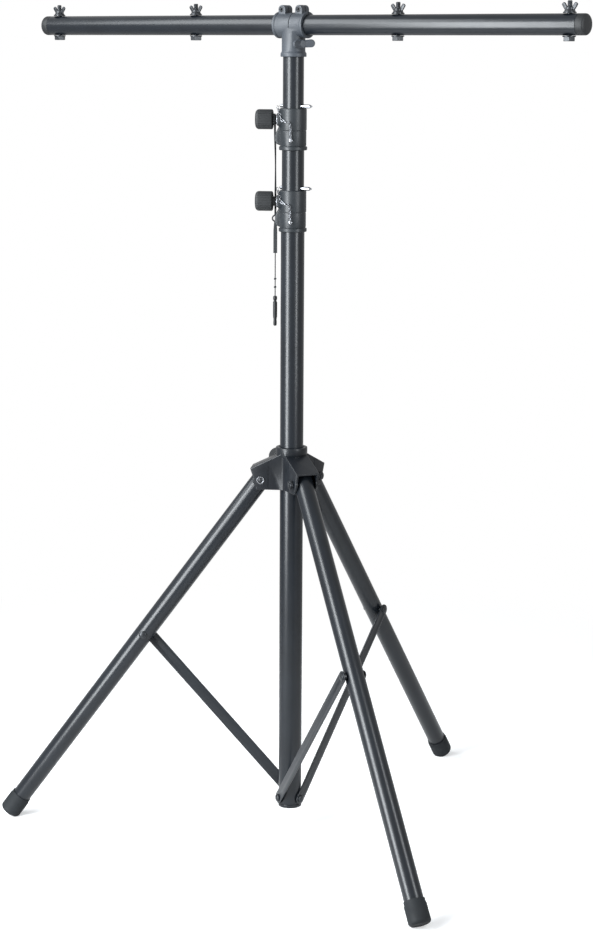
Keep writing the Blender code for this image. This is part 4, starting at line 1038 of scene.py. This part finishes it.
def make_hub():
    pivot_low = HUB_BOTTOM - HUB_PIVOT_Z
    ear_face = EAR_OUT + EAR_PAD
    shell = turned([
        (HUB_RING_R, HUB_TOP), (HUB_RING_R, HUB_RING_LOW + 0.0040),
        (HUB_RING_R - 0.0010, HUB_RING_LOW + 0.0022), (HUB_SLEEVE_R, HUB_RING_LOW),
        (HUB_SLEEVE_R, HUB_BOTTOM - 0.0045),
    ], edge=0.0016)
    slope = (EAR_TOP_OUT[1] - ROOF_START[1]) / (EAR_TOP_OUT[0] - ROOF_START[0])

    def roof(x, drop=0.0):
        return ROOF_START[1] + slope * (x - ROOF_START[0]) - drop

    def ear(start, inset, low):
        """The side outline of a bracket outwards of start, drawn in by inset all round."""
        nose = arc((0, 0), EAR_NOSE_R - inset, *EAR_NOSE_ARC, 14)
        tip = EAR_TOP_OUT[0] - inset
        top = inset * math.hypot(1, slope)
        return [(start, low), (EAR_LOW_OUT - inset, low), *nose, (tip, roof(tip, top)),
                (start, roof(start, top))]

    block = plate(ear(EAR_START_R - HUB_PIVOT_R, 0, pivot_low - 0.01), 2 * EAR_OUT, edge=0.0009)
    pad = plate(ear(EAR_PAD_START, EAR_PAD_INSET, pivot_low + EAR_PAD_INSET), 2 * ear_face, edge=0.0006)
    roof_drop = ROOF_THICK * math.hypot(1, slope)
    wall = POCKET_START - HUB_PIVOT_R
    far = EAR_TOP_OUT[0] + 0.02
    pocket = plate([
        (wall, pivot_low - 0.02), (far, pivot_low - 0.02), (far, roof(far, roof_drop)),
        (wall, roof(wall, roof_drop)),
    ], 2 * EAR_IN)
    bolt_hole = rod(PIVOT_BOLT_R + GAP, -2 * ear_face, 2 * ear_face)
    at_pivot = shift(HUB_PIVOT_R, 0, HUB_PIVOT_Z) @ SIDEWAYS
    spots = [turn(azimuth, "Z") @ at_pivot for azimuth in LEG_AZIMUTHS]
    knob_spot = radial(HUB_KNOB_AZIMUTH, HUB_KNOB_Z)
    changes = [join(shape, spot) for spot in spots for shape in (block, pad)]
    changes += [
        cut(box((0.3, 0.3, 0.1), (0, 0, HUB_BOTTOM - 0.05))),
        join(rod(HUB_BOSS_R, HUB_SLEEVE_R * 0.9, HUB_BOSS_FACE, 40, 0.0008), knob_spot),
        cut(group([(pocket, spot) for spot in spots])),
        cut(rod(HUB_BORE, HUB_BOTTOM - 0.03, HUB_TOP + 0.02, ROUND)),
        cut(rod(KNOB_SCREW_R + GAP, LOW_R * 0.8, HUB_BOSS_FACE + 0.01), knob_spot),
        cut(group([(bolt_hole, spot) for spot in spots])),
    ]
    shown("leg_hub", fused(shell, changes, "MANIFOLD"), HUB, Matrix(), "hub")
    end = ear_face + GAP
    stud = end + PIVOT_NUT_H
    bolt = turned([
        (PIVOT_BOLT_R - 0.0006, stud + 0.0015), (PIVOT_BOLT_R, stud + 0.0009),
        (PIVOT_BOLT_R, -end - HEAD_SKIRT), *round_under(PIVOT_RING_R * 0.68, end, PIVOT_HEAD_H),
    ], 36, edge=0)
    nut = fused(prism(PIVOT_NUT_R, end, stud, edge=0.0010),
                [cut(rod(PIVOT_BOLT_R + 0.0001, end - 0.01, stud + 0.01))])
    rim = sleeve(PIVOT_RING_R, PIVOT_RING_R * 0.70, -end - PIVOT_RIM_H, -end, 40, 0.0004)
    for name, spot in zip(LEG_NAMES, spots):
        piece(name + "_pivot_bolt", bolt.copy(), ZINC, spot, "hub", "hub_" + name + "_bolt")
        piece(name + "_pivot_nut", nut.copy(), ZINC, spot, "hub")
        piece(name + "_pivot_ring", rim.copy(), CHROME, spot, "hub")


def make_leg(name, azimuth):
    """One leg with its plug, foot and strut bolt, made along its own -Z from the hub's pivot."""
    body = "leg_" + name
    root = turn(azimuth, "Z")
    pivot = root @ shift(HUB_PIVOT_R, 0, HUB_PIVOT_Z) @ Matrix.Rotation(-LEG_ANGLE, 4, "Y")
    inner = LEG_R - LEG_WALL
    tube_end = -(LEG_END - FOOT_TUBE_END)
    across = 2 * LEG_R
    pivot_hole = cut(rod(PIVOT_BOLT_R + GAP, -across, across), SIDEWAYS)
    strut_spot = shift(0, 0, -STRUT_PIVOT_ALONG) @ SIDEWAYS
    bolt_hole = cut(rod(STRUT_BOLT_R + GAP, -across, across), strut_spot)
    tube = fused(sleeve(LEG_R, inner, tube_end, LEG_TOP_END), [pivot_hole, bolt_hole])
    shown(body + "_tube", tube, TUBE, pivot, body)
    plug_r = inner - GAP
    cap = LEG_TOP_END + GAP
    plug = fused(turned([
        (0, cap + LEG_PLUG_RISE), (LEG_R - 0.0018, cap + LEG_PLUG_RISE - 0.0002), (LEG_R - 0.0004, cap),
        (plug_r, cap), (plug_r, -LEG_PLUG_DEPTH),
    ], 48, edge=0.0008), [pivot_hole])
    shown(body + "_plug", plug, PLASTIC, pivot, body)
    edge = arc((FOOT_FLAT_R, -LEG_END + FOOT_EDGE), FOOT_EDGE, 0, -90, 12)
    collar = -LEG_END + FOOT_LENGTH
    socket = LEG_R + GAP
    ground = box((0.2, 0.2, 0.1), (HUB_PIVOT_R + LEG_END * SIN_LEG, 0, -0.05))
    foot = fused(turned([
        (socket, collar), (FOOT_R - 0.0010, collar), (FOOT_R - 0.0010, collar - 0.0055),
        (FOOT_R, collar - 0.0075), *edge, (0, -LEG_END), (0, tube_end - GAP), (socket, tube_end - GAP),
    ], closed=True, edge=0.0004), [cut(ground, (root.inverted() @ pivot).inverted())])
    shown(body + "_foot", foot, RUBBER, pivot, body)
    start = -(LEG_R + GAP)
    bolt = turned([
        (SPACER_R, SPACER_END), (SPACER_R, -start), (STRUT_BOLT_R, -start),
        (STRUT_BOLT_R, start), (STRUT_HEAD_R, start), *round_under(STRUT_HEAD_R, -start, STRUT_HEAD_H),
    ], 36, edge=0)
    shown(body + "_bolt", bolt, ZINC, pivot @ strut_spot, body)
    make_strut(name, root)


def make_strut(name, root):
    """A flat strut, made along its own Z from its base pivot, with the rivet at its leg end."""
    half = STRUT_WIDTH / 2
    outline = arc((0, 0), half, 180, 360, 28) + arc((0, STRUT_LENGTH), half, 0, 180, 28)
    holes = [circle((0, 0), BASE_BOLT_R + GAP), circle((0, STRUT_LENGTH), STRUT_BOLT_R)]
    bar = plate(outline, STRUT_THICK, holes, 0.0005)
    spot = root @ shift(0, 0, BASE_PIVOT_Z) @ Matrix.Rotation(STRUT_ANGLE, 4, "Y") @ SIDEWAYS
    middle = (STRUT_IN + STRUT_OUT) / 2
    body = "strut_" + name
    shown(body, bar, TUBE, spot @ shift(0, 0, middle), body)
    face = STRUT_THICK / 2
    rivet = turned([*dome(RIVET_HEAD_R, face + HEAD_SKIRT, RIVET_HEAD_H - HEAD_SKIRT), (RIVET_HEAD_R, face),
                    (STRUT_BOLT_R - 0.0001, face), (STRUT_BOLT_R - 0.0001, -face)], 36, edge=0)
    piece(body + "_rivet", rivet, ZINC, spot @ shift(0, STRUT_LENGTH, middle), body)


make_hub()
for leg_name, leg_azimuth in zip(LEG_NAMES, LEG_AZIMUTHS):
    make_leg(leg_name, leg_azimuth)


# T-bar

def make_coupler():
    barrel_r = BAR_R + GAP + COUPLER_WALL
    side = [(FLANGE_R, COUPLER_HALF), (FLANGE_R, COUPLER_HALF - FLANGE_WIDTH),
            (barrel_r, COUPLER_HALF - FLANGE_WIDTH - 0.0010)]
    profile = [*side, *[(r, -z) for r, z in reversed(side)]]
    socket = turned([
        (SOCKET_R, BAR_Z + 0.0010), (SOCKET_R, SOCKET_BOTTOM + SOCKET_BEAD + 0.0016),
        (SOCKET_BEAD_R, SOCKET_BOTTOM + SOCKET_BEAD - 0.0014), (SOCKET_BEAD_R, SOCKET_BOTTOM),
    ], edge=0.0010)
    lug_base = BAR_R + 0.001
    lug = plate([*arc((0, LUG_SCREW_RISE), LUG_HALF_X, 0, 180, 24), (-LUG_HALF_X, lug_base),
                 (LUG_HALF_X, lug_base)], 2 * LUG_HALF_Y, edge=0.0011)
    shank_hole = rod(CLAMP_SCREW_R + GAP, -2 * LUG_HALF_Y, 2 * LUG_HALF_Y)
    head_hole = rod(CLAMP_HEAD_R + GAP, LUG_HALF_Y - CLAMP_SINK, 2 * LUG_HALF_Y)
    lug_spots = [shift(x, 0, BAR_Z) @ SIDEWAYS for x in (-LUG_X, LUG_X)]
    wing_spot = radial(WING_SCREW_AZIMUTH, WING_SCREW_Z)
    split_top = LUG_SCREW_RISE + LUG_HALF_X + 0.01
    split_z = BAR_Z + split_top / 2
    changes = [join(socket), *[join(lug, spot) for spot in lug_spots]]
    changes += [
        join(rod(WING_BOSS_R, SOCKET_R * 0.8, WING_BOSS_FACE, 40, 0.0008), wing_spot),
        cut(rod(BAR_R + GAP, -2 * COUPLER_HALF, 2 * COUPLER_HALF, ROUND), AT_BAR @ ALONG_X),
        cut(rod(TOP_R + GAP, SOCKET_BOTTOM - 0.02, TOP_TOP + GAP, ROUND)),
        cut(rod(KNOB_SCREW_R + GAP, TOP_R * 0.7, WING_BOSS_FACE + 0.01), wing_spot),
        cut(box((4 * COUPLER_HALF, SPLIT_WIDTH, split_top), (0, 0, split_z))),
        cut(box((CROSS_SLIT, 4 * FLANGE_R, split_top), (CROSS_SLIT_X, 0, split_z - CROSS_SLIT_DROP))),
    ]
    screw_spots = [spot @ shift(0, LUG_SCREW_RISE, 0) for spot in lug_spots]
    changes += [cut(hole, spot) for spot in screw_spots for hole in (shank_hole, head_hole)]
    barrel = moved(turned(profile, edge=0.0007), AT_BAR @ ALONG_X)
    shown("t_coupler", fused(barrel, changes, "MANIFOLD"), CAST, Matrix(), "t_bar")
    head = LUG_HALF_Y - CLAMP_SINK + GAP
    top = head + CLAMP_HEAD_H
    screw = fused(turned([
        (CLAMP_HEAD_R, top), (CLAMP_HEAD_R, head), (CLAMP_SCREW_R, head),
        (CLAMP_SCREW_R, 0.0005 - LUG_HALF_Y),
    ], 40, edge=0.0004), [cut(prism(CLAMP_SOCKET_R, top - CLAMP_SOCKET_DEPTH, top + 0.002))])
    for side, spot in zip(("left", "right"), screw_spots):
        shown("clamp_screw_" + side, screw.copy(), ZINC, spot, "t_bar")
    make_wing_screw(wing_spot)


def make_wing_screw(spot):
    """The screw with two wings that lean out."""
    face = WING_BOSS_FACE + GAP
    end = WING_REACH + WING_THICK
    shank = turned([
        (WING_HUB_R - 0.0008, end), (WING_HUB_R, end - 0.001), (WING_HUB_R + 0.0008, face),
        (KNOB_SCREW_R, face), (KNOB_SCREW_R, TOP_R + GAP),
    ], 40, edge=0.0008)
    half = WING_HEIGHT / 2
    reach = WING_SPAN / 2 / math.cos(WING_FLARE) - half
    blade = plate([(0, half * 0.92), (0, -half * 0.92), *arc((reach, 0), half, -90, 90, 20)], WING_THICK,
                  edge=0.0014)
    level = shift(0, 0, WING_REACH) @ turn(90, "Z") @ Matrix.Rotation(WING_SCREW_TILT, 4, "Z")
    flare = Matrix.Rotation(-WING_FLARE, 4, "Y")
    made = fused(shank, [join(blade, level @ flare), join(blade, level @ turn(180, "Z") @ flare)])
    piece("wing_screw_shown", made, CAST, spot, "wing_screw", "coupler_wing_screw")


def make_crossbar():
    tube_half = BAR_HALF - CAP_RIM
    hole = rod(BOLT_R + GAP, BAR_Z - 2 * BAR_R, BAR_Z + 2 * BAR_R)
    holes = group([(hole, AT_BAR.inverted() @ shift(x, 0, 0)) for x in BOLT_X])
    tube = sleeve(BAR_R, BAR_R - BAR_WALL, -tube_half, tube_half)
    made = fused(moved(tube, ALONG_X), [cut(holes)])
    piece("crossbar_shown", made, TUBE, AT_BAR, "t_bar", "crossbar_tube")
    plug_r = BAR_R - BAR_WALL - GAP
    seat = tube_half + GAP
    cap = turned([
        *[(BAR_R * out, BAR_HALF + CAP_DOME * rise) for out, rise in CAP_CURVE], (BAR_R, seat),
        (plug_r, seat), (plug_r, tube_half - CAP_PLUG),
    ], edge=0.0012)
    for side, angle in (("left", -90), ("right", 90)):
        piece("cap_" + side + "_shown", cap.copy(), PLASTIC, AT_BAR @ turn(angle, "Y"), "t_bar",
              "crossbar_cap_" + side)


def make_fixture_bolts():
    seat = BAR_R + GAP
    stud_top = seat + BOLT_WASHER_H + BOLT_STUD_RISE
    flange = -seat - BOLT_WASHER_H
    thread = [(BOLT_R - 0.0009, stud_top)]
    for n in range(THREAD_STEPS + 1):
        root = n % 2 == 0 and n < THREAD_STEPS
        z = stud_top - BOLT_LEAD_IN - n * THREAD_PITCH / 2
        thread.append((BOLT_R - THREAD_DEPTH if root else BOLT_R, z))
    bolt = turned([
        *thread, (BOLT_R, -seat), (BOLT_FLANGE_R, -seat), (BOLT_FLANGE_R, flange),
    ], 32, edge=0.00025)
    head = prism(BOLT_HEAD_R, flange - BOLT_HEAD_H, -seat - BOLT_WASHER_H / 2, edge=0.0014)
    bolt = fused(bolt, [join(head)])
    low, high = Vector(NUT_WING_FOOT), Vector(NUT_WING_TIP)
    along = (high - low).normalized()
    across = Vector((along.y, -along.x)) * NUT_WING_HALF
    finger = plate(softened([low + across, low - across, high - across, high + across], 0.0030, True),
                   NUT_WING_THICK, edge=0.0009)
    nut = fused(turned([
        (NUT_TOP_R, NUT_H), (NUT_TOP_R + 0.0004, NUT_H * 0.6), (NUT_BASE_R, BOLT_WASHER_H + 0.0012),
        (NUT_BASE_R, BOLT_WASHER_H), (BOLT_FLANGE_R, BOLT_WASHER_H), (BOLT_FLANGE_R, 0),
    ], 40, edge=0.0005), [
        join(finger, SIDEWAYS), join(finger, turn(180, "Z") @ SIDEWAYS),
        cut(rod(BOLT_R + GAP, -0.01, 2 * NUT_WING_TOP)),
    ])
    for number, x in enumerate(BOLT_X, 1):
        bolt_name, nut_name = f"fixture_bolt_{number}", f"wing_nut_{number}"
        piece(f"bolt_{number}_shown", bolt.copy(), ZINC, shift(x, 0, BAR_Z), "t_bar", bolt_name)
        piece(f"nut_{number}_shown", nut.copy(), ZINC, shift(x, 0, BAR_Z + seat), nut_name, nut_name)


make_coupler()
make_crossbar()
make_fixture_bolts()

for part in ("lower_collar", "upper_collar", "hub", "mast_mid_foot", "mast_top_foot"):
    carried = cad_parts[part + "_bush"]
    carried.data.materials.clear()
    carried.data.materials.append(NYLON[0])


# Studio

MIRRORED_SHARE = 0.55
ROOM_COLOUR = (0.93, 0.96, 1.0, 1)
ROOM_STRENGTH = 0.30
WHITE = (1, 1, 1, 1)
FLOOR_SIDE = 16
FLOOR_NEAR = 0.7
FLOOR_FAR = 1.7
FLOOR_GREY = 0.80
FLOOR_GLOW = 0.38
LAMP_COLOUR = (0.93, 0.97, 1.0)


def backdrop_share(tree):
    """1 for rays that see the backdrop, less for mirrored ones and 0 for those that light the object."""
    rays = add_node(tree, "ShaderNodeLightPath")
    mirrored = combined(tree, "MULTIPLY", rays.outputs["Is Glossy Ray"], MIRRORED_SHARE)
    seen = combined(tree, "MAXIMUM", rays.outputs["Is Camera Ray"], mirrored)
    return combined(tree, "MAXIMUM", seen, rays.outputs["Is Transmission Ray"])


def make_world():
    world = bpy.data.worlds.new("studio")
    SCENE.world = world
    world.use_nodes = True
    tree = world.node_tree
    room = set_values(tree.nodes["Background"], {"Color": ROOM_COLOUR, "Strength": ROOM_STRENGTH})
    white = add_node(tree, "ShaderNodeBackground", Color=WHITE)
    both = add_node(tree, "ShaderNodeMixShader")
    for socket, source in zip(both.inputs, (backdrop_share(tree), room.outputs[0], white.outputs[0])):
        feed(socket, source)
    feed(tree.nodes["World Output"].inputs["Surface"], both.outputs["Shader"])


def make_floor():
    """A pale floor that takes the object's shadow and turns to plain white further out."""
    mesh = box((FLOOR_SIDE, FLOOR_SIDE, 0.02), (0, 0, -0.01))
    floor = linked("floor", mesh)
    made, tree, shader = new_material(
        "floor", {"Roughness": 1.0, "Specular IOR Level": 0.0, "Emission Color": WHITE})
    reach = add_node(tree, "ShaderNodeVectorMath", operation="LENGTH")
    feed(reach.inputs[0], add_node(tree, "ShaderNodeTexCoord").outputs["Object"])

    def outwards(near, far):
        """A value that goes from near to far with the distance from the stand."""
        return spanned(tree, reach.outputs["Value"], near, far, FLOOR_NEAR, FLOOR_FAR, "SMOOTHSTEP")

    glow = combined(tree, "MULTIPLY", backdrop_share(tree), outwards(FLOOR_GLOW, 1.0))
    set_values(shader, {"Base Color": outwards(FLOOR_GREY, 0.0), "Emission Strength": glow})
    mesh.materials.append(made)


def make_lamp(name, azimuth, distance, height, width, tall, power, aim=0.0):
    """A soft lamp this many degrees right of the camera round the mast, facing it level or at aim."""
    data = bpy.data.lights.new(name, "AREA")
    data.shape = "RECTANGLE"
    data.size = width
    data.size_y = tall
    data.energy = power
    data.color = LAMP_COLOUR
    lamp = linked(name, data)
    angle = math.radians(azimuth)
    away = Vector((distance * math.sin(angle), -distance * math.cos(angle), height))
    spot = STAND @ turn(CAMERA_TURN, "Z") @ away
    target = STAND @ Vector((0, 0, aim or height))
    facing = (target - spot).to_track_quat("-Z", "Y").to_matrix().to_4x4()
    lamp.matrix_world = Matrix.Translation(spot) @ facing
    lamp.visible_camera = False


make_world()
make_floor()
make_lamp("left_strip", -49, distance=2.2, height=1.20, width=0.78, tall=2.4, power=130)
make_lamp("right_strip", 42, distance=2.2, height=1.52, width=0.42, tall=1.75, power=34)
make_lamp("upper_left_soft", -78, distance=1.7, height=2.35, width=1.3, tall=1.4, power=48, aim=BAR_Z)
SCENE.view_settings.view_transform = "Standard"
